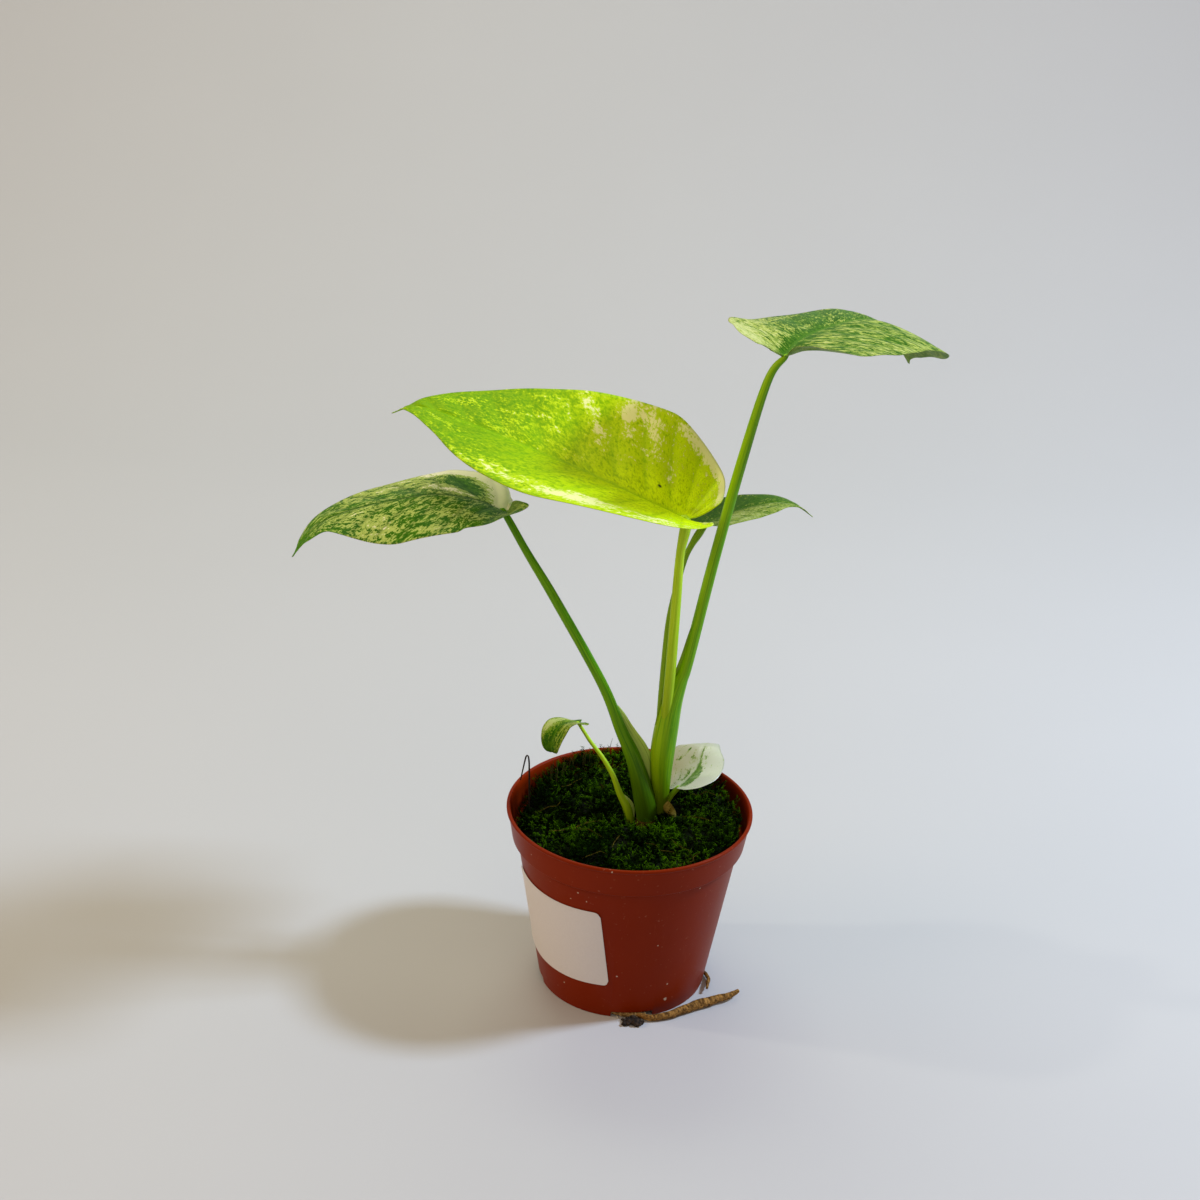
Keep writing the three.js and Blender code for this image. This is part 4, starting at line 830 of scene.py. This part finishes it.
def blade(name):
    """A closed thin blade with grooved veins above, a raised midrib below and a thinner margin."""
    leaf = BLADES[name]
    big = leaf["half_width"][0] > 25
    per_vein, columns = (9, 30) if big else (7, 18)
    rows = leaf["veins"] * per_vein
    around, out_share, place, along, out, length = blade_form(leaf, rows, columns)
    step_around = np.gradient(place, axis=0)
    normal = np.cross(np.gradient(place, axis=1), step_around)
    size = np.linalg.norm(normal, axis=-1, keepdims=True)
    _, tangents, _, _ = along_curve(leaf["midrib"], RIB_STEPS)
    frame_normals = carried(tangents, np.array(leaf["normal"], float))
    middle = frame_normals[np.minimum((np.clip(along, 0, 1) * RIB_STEPS).astype(int), RIB_STEPS - 1)]
    normal = np.where(size > 1e-6, normal / np.maximum(size, 1e-9), middle)
    normal = np.where(((normal * middle).sum(-1) < 0)[..., None], -normal, normal)
    share = np.abs(out_share)
    scale = length / RELIEF["length"]
    vein_gap = np.linalg.norm(step_around, axis=-1) * rows / leaf["veins"]
    fade = smooth(0.02, 0.22, share) * (1 - smooth(0.82, 1.0, share)) * (1 - smooth(0.9, 1.0, around))
    fade = fade * np.minimum(vein_gap / (9 * scale), 1.2)
    beat = np.cos(TURN * leaf["veins"] * around)
    groove = np.maximum(beat, 0) ** 6
    quilt = (0.5 - 0.5 * beat) * RELIEF["quilt"] * scale * fade
    rib = np.exp(-((out / (0.9 * scale + 0.35)) ** 2)) * (1 - smooth(0.75, 1.0, along))
    relief = quilt - groove * RELIEF["groove"] * scale * fade - rib * RELIEF["rib"] * scale
    rng = np.random.default_rng(SEED + len(name))
    wave = 0
    for k in (2, 3, 5, 7):
        height = rng.uniform(0.1, 0.3)
        wave = wave + height * np.sin(TURN * (k * around * 1.5 + rng.uniform()) + (out_share >= 0) * 2.1)
    wave = wave * scale * share**4 * (1 - smooth(0.85, 1.0, around))
    thick = (RELIEF["thick"] - RELIEF["edge"] * smooth(0.7, 1.0, share)) * (0.6 + 0.4 * scale)
    above = relief + wave + thick / 2
    below = wave + relief * 0.6 - thick / 2 - rib * RELIEF["rib_below"] * scale
    points, faces = shell(place + normal * above[..., None], place + normal * below[..., None],
                          rows + 1, 2 * columns + 1)
    uv = np.stack([twice(around), twice(share + SIDE_SHIFT * (out_share >= 0))], -1)
    marks = {
        "pale": twice(patch_marks(name, around, out_share)), "rib": twice(rib * 0.75 + 0.42 * groove * fade),
        "edge": twice(smooth(0.98, 1.0, share)), "under": np.repeat([0.0, 1.0], around.size),
        "near_stalk": twice(1 - smooth(-0.1, 0.75, along)),
    }
    piece = make_mesh("leaf_" + name, points, faces, leaf_material(name), uv, marks)
    merge_close(piece)
    return placed(piece, "blade_" + name, slot=BLADE_SLOTS.get(name, "blade_green"))


# Petioles

def petiole(name):
    """A grooved stalk that ends under its blade, with its membranes."""
    spec = PETIOLES[name]
    base = np.array(BLADES[name]["midrib"][0], float)
    forward = np.array(BLADES[name]["midrib"][1], float) - base
    ahead = unit(forward)
    drop = np.array((0, 0, BLADES[name].get("funnel", (0, 1))[0]))
    end_size = spec["radius"][-1]
    path = [*spec["path"], tuple(base - drop + ahead * end_size * 0.2 - (0, 0, 0.8 * end_size)),
            tuple(base - drop * 0.9 + ahead * end_size * 2 - (0, 0, end_size))]
    steps, sides = 30 + 14 * len(path), 28
    places, tangents, knot, length = along_curve(path, steps)
    normals = carried(tangents[::-1], forward)[::-1]
    size = at_knots((*spec["radius"], 0.35 * end_size), knot)
    distance = np.linspace(0, length, steps + 1)
    turn = np.linspace(0, TURN, sides, endpoint=False)
    knob = spec.get("knob", 0)
    from_knob = (np.linspace(0, 1, steps + 1) - KNOB["at"]) / KNOB["spread"]
    swell = 1 + KNOB["swell"] * knob * np.exp(-(from_knob**2))
    widening = smooth(length - KNOB["flare_from"], length - KNOB["flare_to"], distance)
    flare = 1 + KNOB["flare"] * knob * widening
    groove = 1 - 0.16 * np.exp(-(((turn - math.pi) / 0.5) ** 2))
    points = ring_points(places, tangents, normals, (size * swell * flare)[:, None] * groove, turn)
    last = steps * sides
    faces = grid_faces(steps + 1, sides, closed=True)
    faces += [tuple(range(sides))[::-1], tuple(last + k for k in range(sides))]
    across = np.cross(tangents, normals)
    outward = normals[:, None] * np.cos(turn)[:, None] + across[:, None] * np.sin(turn)[:, None]
    # The side facing left, which the material paints lighter and yellower as if lit.
    painted_lit_side = smooth(-0.3, 0.8, outward @ np.array((-1, -0.2, 0)))
    parts = [(points, faces, ring_uv(turn, distance))]
    # warm carries the painted light on the side facing left, foot the painted shade towards the moss.
    marks = {"pale": [np.zeros(len(points))], "warm": [(painted_lit_side * spec["warm"]).ravel()],
             "foot": [np.repeat(np.exp(-((distance / spec["painted_shade_foot"]) ** 2)), sides)]}
    for wing in spec.get("wings", ()):
        part, pale = sheath_wing(path, size, knot, *wing)
        parts.append(part)
        marks["pale"].append(pale)
        marks["warm"].append(pale * 0.5)
        marks["foot"].append(np.exp(-((part[2][:, 1] / (0.7 * spec["painted_shade_foot"])) ** 2)))
    points, faces, uv = joined(parts)
    marks = {key: np.concatenate(values) for key, values in marks.items()}
    piece = make_mesh("stalk_" + name, points, faces, PETIOLE_SKINS[spec["skin"]], uv, marks)
    return placed(piece, "petiole_" + name, slot="petiole_lime" if name == "lime" else "petiole")


def sheath_wing(path, size, knot, start, end, reach, direction):
    """A thin membrane that stands out of the petiole, thinner towards its edge, and how pale it is."""
    steps, columns, samples = 40, 8, 200
    _, tangents, knots, length = along_curve(path, samples)
    shares = np.linspace(start, end, steps + 1)
    pick = np.minimum((shares * samples).astype(int), samples - 1)
    centre = at_knots(path, np.interp(shares, np.linspace(0, 1, samples + 1), knots))
    tangent = tangents[pick]
    way = np.array(direction, float)
    out = unit(way - tangent * (tangent @ way)[:, None])
    side = np.cross(tangent, out)
    radius = np.interp(knots[pick], knot, size)
    width = at_knots(reach, np.linspace(0, 1, steps + 1))
    share = np.linspace(0, 1, columns + 1)
    far = 0.55 * radius[:, None] + (0.45 * radius + width)[:, None] * share
    bend = 0.22 * width[:, None] * share**2 + 0.12 * np.sin(shares * 90)[:, None] * share
    half_thick = side[:, None] * ((0.42 - 0.32 * share) / 2)[None, :, None]
    middle = centre[:, None] + out[:, None] * far[..., None] + side[:, None] * bend[..., None]
    points, faces = shell(middle + half_thick, middle - half_thick, steps + 1, columns + 1)
    uv = np.stack(np.broadcast_arrays(share * 0.3, (shares * length)[:, None]), -1).reshape(-1, 2)
    pale = twice(np.broadcast_to(0.3 + 0.6 * share, (steps + 1, columns + 1)))
    return (points, faces, np.vstack([uv, uv])), pale


# Pot, label and what the pot holds

def body_radius(z):
    return POT["base"] + BODY_SLOPE * z


def collar_radius(z):
    return POT["rim"] - COLLAR_SLOPE * (POT["height"] - z)


def rounded(points, radius, steps=4):
    """A profile with its listed corners turned into short arcs. Each point is r, z and a rounding share."""
    made = []
    for i, (r, z, share) in enumerate(points):
        here = np.array((r, z), float)
        if not share or i in (0, len(points) - 1):
            made.append((r, z))
            continue
        before = np.array(points[i - 1][:2], float) - here
        after = np.array(points[i + 1][:2], float) - here
        reach = min(radius * share, 0.45 * np.linalg.norm(before), 0.45 * np.linalg.norm(after))
        a = here + before / np.linalg.norm(before) * reach
        b = here + after / np.linalg.norm(after) * reach
        for t in np.linspace(0, 1, steps + 1):
            made.append(tuple((1 - t) ** 2 * a + 2 * t * (1 - t) * here + t**2 * b))
    return made


def slot_cutter(index):
    """A block that cuts one drainage slot into the bottom corner."""
    bpy.ops.mesh.primitive_cube_add(size=1)
    cutter = bpy.context.object
    shape = Matrix.Diagonal((SLOT["width"] * MM, (SLOT["depth"] + 2) * MM, 2 * SLOT["height"] * MM, 1))
    place = Matrix.Translation((0, (SLOT["depth"] / 2 - 1 - POT["base"]) * MM, 0))
    turn = Matrix.Rotation(math.radians(SLOT["first_angle"] + 360 * index / SLOT["count"]), 4, "Z")
    cutter.data.transform(turn @ place @ shape)
    return cutter


def pot():
    p = POT
    top = p["lift"] + p["floor"]
    lip_inner, lip_z = p["rim"] - p["lip_width"], p["height"] - p["lip_height"]
    profile = rounded([
        (0, 0, 0), (p["pad"], 0, 1), (p["pad"] + 1.5, p["lift"], 1),
        (p["base"] - p["foot"] - 0.5, p["lift"], 1), (p["base"] - p["foot"], 0, 1),
        (p["base"], 0, 1.5), (body_radius(COLLAR_Z - 1), COLLAR_Z - 1, 1.5),
        (p["collar_foot"], COLLAR_Z, 1.2), (p["rim"] - p["wall"], lip_z - 0.5, 1), (p["rim"], lip_z, 1.2),
        (p["rim"], p["height"], 1.5), (lip_inner, p["height"], 1.5), (lip_inner - 0.5, lip_z, 1),
        (p["collar_foot"] - p["wall"], COLLAR_Z + 1, 1), (body_radius(COLLAR_Z) - p["wall"], COLLAR_Z, 1),
        (body_radius(top) - p["wall"], top, 1), (p["pad"] + 1, top, 1), (p["pad"] - 0.5, p["wall"], 1),
        (0, p["wall"], 0),
    ], 0.5)
    points, faces = lathe(profile, 160)
    piece = make_mesh("pot_body", points, faces, plastic_material())
    cutters = [slot_cutter(i) for i in range(SLOT["count"])]
    for cutter in cutters:
        cut = piece.modifiers.new("slot", "BOOLEAN")
        cut.operation = "DIFFERENCE"
        cut.solver = "EXACT"
        cut.object = cutter
    bpy.context.view_layer.update()
    done = bpy.data.meshes.new_from_object(piece.evaluated_get(bpy.context.evaluated_depsgraph_get()))
    piece.modifiers.clear()
    piece.data = done
    for cutter in cutters:
        bpy.data.objects.remove(cutter)
    done.polygons.foreach_set("use_smooth", [True] * len(done.polygons))
    done.set_sharp_from_angle(angle=math.radians(32))
    return placed(piece, "pot", slot="pot")


def label():
    """A blank paper sheet laid round the cone of the pot's body."""
    slope = math.atan(BODY_SLOPE)
    to_apex = body_radius(LABEL["centre_height"]) / math.sin(slope)
    columns, rows = 60, 40
    x = np.linspace(-0.5, 0.5, columns + 1) * LABEL["width"]
    past = np.maximum(np.abs(x) - (LABEL["width"] / 2 - LABEL["corner"]), 0)
    half = LABEL["height"] / 2 - LABEL["corner"] + np.sqrt(np.maximum(LABEL["corner"] ** 2 - past**2, 0))
    across = np.repeat(x[:, None], rows + 1, 1)
    up = half[:, None] * np.linspace(-1, 1, rows + 1)
    run = np.hypot(across, to_apex + up)
    angle = math.radians(LABEL["centre_angle"]) + np.arctan2(across, to_apex + up) / math.sin(slope)
    corner = (np.abs(across) / (LABEL["width"] / 2)) ** 12 * (np.abs(up) / (LABEL["height"] / 2)) ** 6
    layers = []
    for lift in (LABEL["stand_off"] + LABEL["thick"], LABEL["stand_off"]):
        off = lift + LABEL["lifted_corner"] * corner
        radius = run * math.sin(slope)
        z = (radius - POT["base"]) / math.tan(slope) - off * math.sin(slope)
        reach = radius + off * math.cos(slope)
        layers.append(np.stack([reach * np.sin(angle), -reach * np.cos(angle), z], -1))
    points, faces = shell(*layers, columns + 1, rows + 1)
    outward = [face[::-1] for face in faces]
    sheet = make_mesh("paper_label", points, outward, paper_material(), smooth_angle=40)
    return placed(sheet, "label", slot="label")


def seeded_random(seed):
    """Mulberry32, the small generator that places the moss tufts."""
    state = seed

    def draw():
        nonlocal state
        state = (state + 0x6D2B79F5) & 0xFFFFFFFF
        t = ((state ^ (state >> 15)) * (1 | state)) & 0xFFFFFFFF
        t = ((t + (((t ^ (t >> 7)) * (61 | t)) & 0xFFFFFFFF)) ^ t) & 0xFFFFFFFF
        return ((t ^ (t >> 14)) & 0xFFFFFFFF) / 4294967296

    return draw


def moss_tufts():
    draw = seeded_random(MOSS["seed"])
    tufts = []
    for _ in range(MOSS["tufts"]):
        angle = TURN * draw()
        distance = MOSS["radius"] * math.sqrt(draw())
        radius = MOSS["tuft_radius"][0] + (MOSS["tuft_radius"][1] - MOSS["tuft_radius"][0]) * draw()
        height = MOSS["tuft_height"][0] + (MOSS["tuft_height"][1] - MOSS["tuft_height"][0]) * draw()
        tufts.append((distance * math.cos(angle), distance * math.sin(angle), radius, height))
    return tufts


TUFTS = moss_tufts()


def moss_height(x, y):
    bump = np.zeros_like(x)
    for tuft_x, tuft_y, radius, height in TUFTS:
        near = np.maximum(1 - ((x - tuft_x) ** 2 + (y - tuft_y) ** 2) / radius**2, 0)
        bump = np.maximum(bump, height * near**2)
    dip_x, dip_y = MOSS["dip_at"]
    from_edge = np.clip((MOSS["radius"] - np.hypot(x, y)) / MOSS["edge_round"], 0, 1)
    in_dip = np.maximum(1 - ((x - dip_x) ** 2 + (y - dip_y) ** 2) / MOSS["dip_radius"] ** 2, 0)
    surface = MOSS["height"] + MOSS["rise_to_back"] * y + MOSS["rise_to_right"] * x + bump
    surface -= MOSS["edge_drop"] * (1 - from_edge) ** 2 + MOSS["dip_depth"] * in_dip**2
    return np.maximum(surface, MOSS["base"] + MOSS["least"])


def bushy_rise(at):
    """How much higher the fronds stand towards the back left wall and towards the right."""
    behind_left = smooth(5, 48, at[:, 1]) * (1 - 0.6 * smooth(0, 30, at[:, 0]))
    return 6.2 * behind_left + 4.6 * smooth(16, 50, at[:, 0])


def spikes(base, tip, width, rng):
    """Closed three-sided spikes from base points to tip points, as points and faces."""
    axis = unit(tip - base)
    helper = unit(rng.normal(size=base.shape))
    side = unit(np.cross(axis, helper))
    other = np.cross(axis, side)
    corners = [base + (side * math.cos(a) + other * math.sin(a)) * width[:, None]
               for a in (0, TURN / 3, 2 * TURN / 3)]
    points = np.stack([*corners, tip], 1).reshape(-1, 3)
    first = np.arange(len(base))[:, None] * 4
    sides = ((0, 1, 3), (1, 2, 3), (2, 0, 3), (2, 1, 0))
    faces = np.concatenate([first + corner for corner in sides], 1).reshape(-1, 3)
    return points, faces


def clear_of_stalks(x, y):
    clear = np.hypot(x, y) < MOSS["radius"] - 0.6
    for (at_x, at_y), radius in STANDING:
        clear &= np.hypot(x - at_x, y - at_y) > radius
    return clear


def moss_fronds(name, seed):
    """Feathery fronds that lean out from the middle of their clump, each with leaflets down both sides."""
    rng = np.random.default_rng(seed)
    clumps, leaflets = FRONDS["clumps"], FRONDS["leaflets"]
    angle = rng.uniform(0, TURN, clumps)
    distance = (MOSS["radius"] - 1) * np.sqrt(rng.uniform(0, 1, clumps))
    middle = np.stack([distance * np.cos(angle), distance * np.sin(angle)], -1)
    tone = rng.uniform(0, 1, clumps)
    lush = rng.uniform(*FRONDS["lush"], clumps)
    which = rng.integers(0, clumps, 2 * FRONDS["a_piece"])
    away = rng.normal(0, FRONDS["from_middle"], (len(which), 2))
    at = middle[which] + away
    keep = np.flatnonzero(clear_of_stalks(at[:, 0], at[:, 1]))[:FRONDS["a_piece"]]
    at, away, which = at[keep], away[keep], which[keep]
    count = len(at)
    z = moss_height(at[:, 0], at[:, 1]) + bushy_rise(at) - FRONDS["sink"]
    root = np.stack([at[:, 0], at[:, 1], z], -1)
    heading = np.arctan2(away[:, 1], away[:, 0]) + rng.normal(0, 0.5, count)
    tilt = np.clip(0.25 + np.hypot(away[:, 0], away[:, 1]) * 0.28 + rng.normal(0, 0.15, count), 0.05, 1.35)
    way = np.stack([np.sin(tilt) * np.cos(heading), np.sin(tilt) * np.sin(heading), np.cos(tilt)], -1)
    length = rng.uniform(*FRONDS["length"], count) * lush[which]
    tip = root + way * length[:, None]
    over = np.hypot(tip[:, 0], tip[:, 1]) / (MOSS["radius"] + 0.8)
    tip[:, :2] /= np.maximum(over, 1)[:, None]
    side = unit(np.cross(way, (0, 0, 1.0)) + 0.001)
    starts, ends, widths = [root], [tip], [np.full(count, FRONDS["thick"])]
    # The tip mark rises from each spike's foot to its tip, and the material paints shade where it is low.
    marks = [np.tile((0.0, 0.0, 0.0, 0.8), count)]
    for k in range(leaflets):
        share = 0.25 + 0.72 * (k // 2 * 2 + 1) / leaflets
        sign = 1 if k % 2 else -1
        start = root + (tip - root) * share
        reach = rng.uniform(*FRONDS["leaflet"], count) * (1.2 - 0.55 * share) * lush[which]
        jitter = rng.normal(0, 0.35, (count, 3))
        starts.append(start)
        ends.append(start + unit(side * sign + way * 0.7 + jitter + np.array((0, 0, 0.12))) * reach[:, None])
        widths.append(rng.uniform(*FRONDS["leaflet_thick"], count))
        marks.append(np.tile((share * 0.6, share * 0.6, share * 0.6, 0.35 + 0.65 * share), count))
    points, faces = spikes(np.vstack(starts), np.vstack(ends), np.concatenate(widths), rng)
    marks = {"tip": np.concatenate(marks), "clump": np.repeat(np.tile(tone[which], leaflets + 1), 4)}
    return placed(make_mesh(name, points, faces.tolist(), MOSS_LOOK, None, marks), slot="moss")


def moss_bed():
    """The matted ground under the fronds, lower where the stalks stand, painted near black as shade deep in
    the moss.
    """
    rings, spokes = 60, 180
    turn = np.linspace(0, TURN, spokes, endpoint=False)
    distance = np.linspace(0.3, MOSS["radius"], rings)[:, None]
    x, y = distance * np.cos(turn), distance * np.sin(turn)
    z = moss_height(x, y) - FRONDS["sink"]
    z = np.where(np.hypot(x - 6.5, y - 4.5) < 4, z - 1.0, z)
    top = np.stack([x, y, z], -1).reshape(-1, 3)
    under = np.stack([x[-1], y[-1], np.full(spokes, MOSS["base"])], -1)
    points = np.vstack([top, under, (0, 0, z[0].mean()), (0, 0, MOSS["base"])])
    faces = grid_faces(rings + 1, spokes, closed=True)
    faces += end_fans(spokes, len(points) - 2, rings * spokes, len(points) - 1)
    # Painted shade: the bed's near-black colours stand in for the shade deep down between the fronds.
    skin = earth_material("moss_bed", (0.002, 0.004, 0.001), (0.01, 0.018, 0.002))
    return placed(make_mesh("moss_bed", points, faces, skin), "moss", slot="moss")


def litter():
    """Dead fibres and bits of stick that lie across the moss."""
    rng = np.random.default_rng(SEED + 40)
    parts = []
    for start, end, thick in LITTER:
        share = np.linspace(0, 1, 5)[:, None]
        line = np.array(start) * (1 - share) + np.array(end) * share
        line = line + rng.normal(0, 1.1, line.shape) * np.sin(share * math.pi)
        z = moss_height(line[:, 0], line[:, 1]) + bushy_rise(line) + rng.uniform(-0.3, 0.9, 5)
        radius = (thick * 0.6, thick, thick, thick * 0.8, thick * 0.4)
        parts.append(tube(np.column_stack([line, z]), radius, 8, 24, 0.1, 3))
    points, faces, uv = joined(parts)
    skin = bark_material("dead_fibre", (0.02, 0.014, 0.002), (0.16, 0.13, 0.012))
    return placed(make_mesh("dead_fibres", points, faces, skin, uv), slot="moss")


def bristles():
    """Thin bristles that stand out of the moss by the back wall."""
    rng = np.random.default_rng(SEED + 60)
    parts = []
    for _ in range(BRISTLES["count"]):
        angle = rng.uniform(*BRISTLES["angle"])
        foot = rng.uniform(*BRISTLES["radius"]) * np.array((math.cos(angle), math.sin(angle)))
        z = float(moss_height(foot[:1], foot[1:])[0]) + BRISTLES["above"]
        lean = rng.normal(0, BRISTLES["lean"], 2)
        tall = rng.uniform(*BRISTLES["tall"])
        path = [(*foot, z), (*(foot + lean * 0.3), z + tall * 0.6), (*(foot + lean), z + tall)]
        parts.append(tube(path, (0.16, 0.13, 0.07), 6, 12))
    points, faces, uv = joined(parts)
    skin = bark_material("moss_hair", (0.02, 0.02, 0.004), (0.12, 0.12, 0.03))
    return placed(make_mesh("moss_hairs", points, faces, skin, uv), slot="moss")


def stem():
    """The knobbly rhizome, from rings of changing centre and half width."""
    rows, sides = 41, 36
    share = np.linspace(0, 1, rows)
    centre = at_knots([at for at, _ in STEM], share)
    half = at_knots([size for _, size in STEM], share)
    turn = np.linspace(0, TURN, sides, endpoint=False)
    rough = 1 + 0.05 * np.sin(7 * turn + 9 * share[:, None]) + 0.04 * np.sin(share * 60)[:, None]
    rings = np.stack([centre[:, :1] + half[:, :1] * rough * np.cos(turn),
                      centre[:, 1:2] + half[:, 1:] * rough * np.sin(turn),
                      np.repeat(centre[:, 2:], sides, 1)], -1).reshape(-1, 3)
    faces = grid_faces(rows, sides, closed=True)
    faces += [tuple(range(sides))[::-1], tuple((rows - 1) * sides + k for k in range(sides))]
    uv = np.stack(np.broadcast_arrays(turn / 6.3, share[:, None] * 28), -1).reshape(-1, 2)
    skin = bark_material("rhizome_skin", (0.03, 0.02, 0.003), (0.13, 0.08, 0.014))
    return placed(make_mesh("rhizome", rings, faces, skin, uv, smooth_angle=50), "stem", slot="stem")


def tube_piece(name, spec, slot, material, *nodes, sides=18, steps=60, lumps=0.0, seed=0):
    points, faces, uv = tube(spec["path"], spec["radius"], sides, steps, lumps, seed)
    return placed(make_mesh(name, points, faces, material, uv), *nodes, slot=slot)


def crumbs(name, centre, spread, sizes, count, material, seed, *nodes):
    """Irregular crumbs that lie on the ground, in one piece of several lumps."""
    rng = np.random.default_rng(seed)
    ball = bmesh.new()
    bmesh.ops.create_icosphere(ball, subdivisions=2, radius=1)
    unit_points = np.array([v.co for v in ball.verts])
    unit_faces = [tuple(v.index for v in f.verts) for f in ball.faces]
    ball.free()
    points, faces = [], []
    for i in range(count):
        radius = rng.uniform(*sizes)
        dents = 1 + 0.22 * np.sin(unit_points @ rng.normal(size=3) * 3.1 + rng.uniform(0, 6))
        dents += 0.14 * np.sin(unit_points @ rng.normal(size=3) * 6.3 + rng.uniform(0, 6))
        lump = unit_points * dents[:, None] * radius * np.array((1, 1, 0.75))
        at = np.array(centre, float)[:2] + rng.uniform(-1, 1, 2) * np.array(spread)
        points.append(lump + np.array((*at, -lump[:, 2].min() + centre[2])))
        faces += [tuple(i * len(unit_points) + v for v in f) for f in unit_faces]
    return placed(make_mesh(name, np.vstack(points), faces, material), *nodes, slot="soil")


# Surroundings

def stood(name, data, axes, place):
    """A lamp or camera at a place in metres, with its own x, y and z along the three axes."""
    thing = bpy.data.objects.new(name, data)
    bpy.context.scene.collection.objects.link(thing)
    thing.matrix_world = Matrix([*np.stack([*axes, place], -1).tolist(), [0, 0, 0, 1]])
    return thing


def studio():
    """A pale sweep that curves up behind, a cool light from the right and soft ones from other sides."""
    back, bend = SWEEP["back"], SWEEP["bend"]
    line = [(SWEEP["front"], 0.0), (back - bend, 0.0)]
    for a in np.linspace(0, math.pi / 2, 24)[1:]:
        line.append((back - bend + bend * math.sin(a), bend - bend * math.cos(a)))
    line.append((back, SWEEP["tall"]))
    points = np.array([(x, y, z) for y, z in line for x in (-SWEEP["wide"] / 2, SWEEP["wide"] / 2)]) / MM
    faces = [(2 * i, 2 * i + 1, 2 * i + 3, 2 * i + 2) for i in range(len(line) - 1)]
    paint = Paint("pale_sweep")
    colour = paint.mix(paint.noise(paint.spot(), 3.0, 3), (0.455, 0.455, 0.455), (0.48, 0.48, 0.48))
    make_mesh("floor", points, faces, paint.surface(colour, 0.7, Specular_IOR_Level=0.2))
    for name, (place, size, power, colour) in LAMPS.items():
        light = bpy.data.lights.new(name, "AREA")
        light.size = size
        light.energy = power
        light.color = colour
        direction = unit(np.array(place) - np.array(LAMPS_AIM_AT))
        side = unit(np.cross((0, 1.0, 0), direction))
        stood(name, light, (side, np.cross(direction, side), direction), place)
    world = bpy.data.worlds.new("soft_room")
    world.use_nodes = True
    world.node_tree.nodes["Background"].inputs[0].default_value = ROOM["colour"]
    world.node_tree.nodes["Background"].inputs[1].default_value = ROOM["strength"]
    bpy.context.scene.world = world
    bpy.context.scene.view_settings.view_transform = "Standard"


def camera():
    pitch, roll = math.radians(CAMERA["pitch"]), math.radians(CAMERA["roll"])
    forward = np.array((0, math.cos(pitch), -math.sin(pitch)))
    right, up = np.array((1.0, 0, 0)), np.array((0, math.sin(pitch), math.cos(pitch)))
    rolled_right = right * math.cos(roll) + up * math.sin(roll)
    rolled_up = up * math.cos(roll) - right * math.sin(roll)
    lens = bpy.data.cameras.new("camera")
    lens.lens, lens.sensor_width = CAMERA["lens"], CAMERA["sensor"]
    lens.clip_start, lens.clip_end = 0.01, 20
    place = np.array(CAMERA["place"]) * MM
    bpy.context.scene.camera = stood("camera", lens, (rolled_right, rolled_up, -forward), place)


camera()
studio()
pot()
label()
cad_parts["soil"].data.materials.clear()
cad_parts["soil"].data.materials.append(earth_material("soil"))
MOSS_LOOK = moss_material()
moss_bed()
for layer in range(FRONDS["pieces"]):
    moss_fronds(f"moss_fronds_{layer + 1}", SEED + layer)
PETIOLE_SKINS = {skin: petiole_material(skin) for skin in PETIOLE_LOOKS}
for petiole_name in PETIOLES:
    petiole(petiole_name)
for blade_name in BLADES:
    blade(blade_name)
litter()
bristles()
stem()
ROOT_BARK = bark_material("root_bark", (0.06, 0.026, 0.006), (0.38, 0.2, 0.05))
SLOT_BARK = bark_material("slot_root_bark", (0.1, 0.055, 0.015), (0.5, 0.33, 0.13))
BUD_SKIN = bark_material("bud_skin", (0.17, 0.14, 0.015), (0.34, 0.28, 0.06), 0.5)
FIBRE_SKIN = bark_material("fibre_skin", (0.01, 0.007, 0.005), (0.035, 0.024, 0.014))
tube_piece("root_bud", BUD, "stem", BUD_SKIN, "bud", seed=3)
tube_piece("long_root", ROOT, "root", ROOT_BARK, "root", steps=120, lumps=0.1, seed=5)
tube_piece("short_root", ROOT_STUB, "root", ROOT_BARK, "root_stub", sides=12, lumps=0.12, seed=6)
tube_piece("slot_root", SLOT_ROOT, "root", SLOT_BARK, lumps=0.16, seed=12)
tube_piece("wiry_fibre", FIBRE, "root", FIBRE_SKIN, "fibre", sides=8, lumps=0.1, seed=8)
DARK_CRUMBS = earth_material("crumb_soil")
PALE_CRUMBS = earth_material("perlite_grey", (0.5, 0.47, 0.4), (0.72, 0.68, 0.6))
crumbs("fallen_soil", (6, -45.9, 0.05), (5, 2.3), (0.5, 1.7), 34, DARK_CRUMBS, 9, "soil_crumbs")
crumbs("perlite", (4, -41.6, 0.2), (8.5, 0.6), (0.4, 0.9), 11, PALE_CRUMBS, 12)
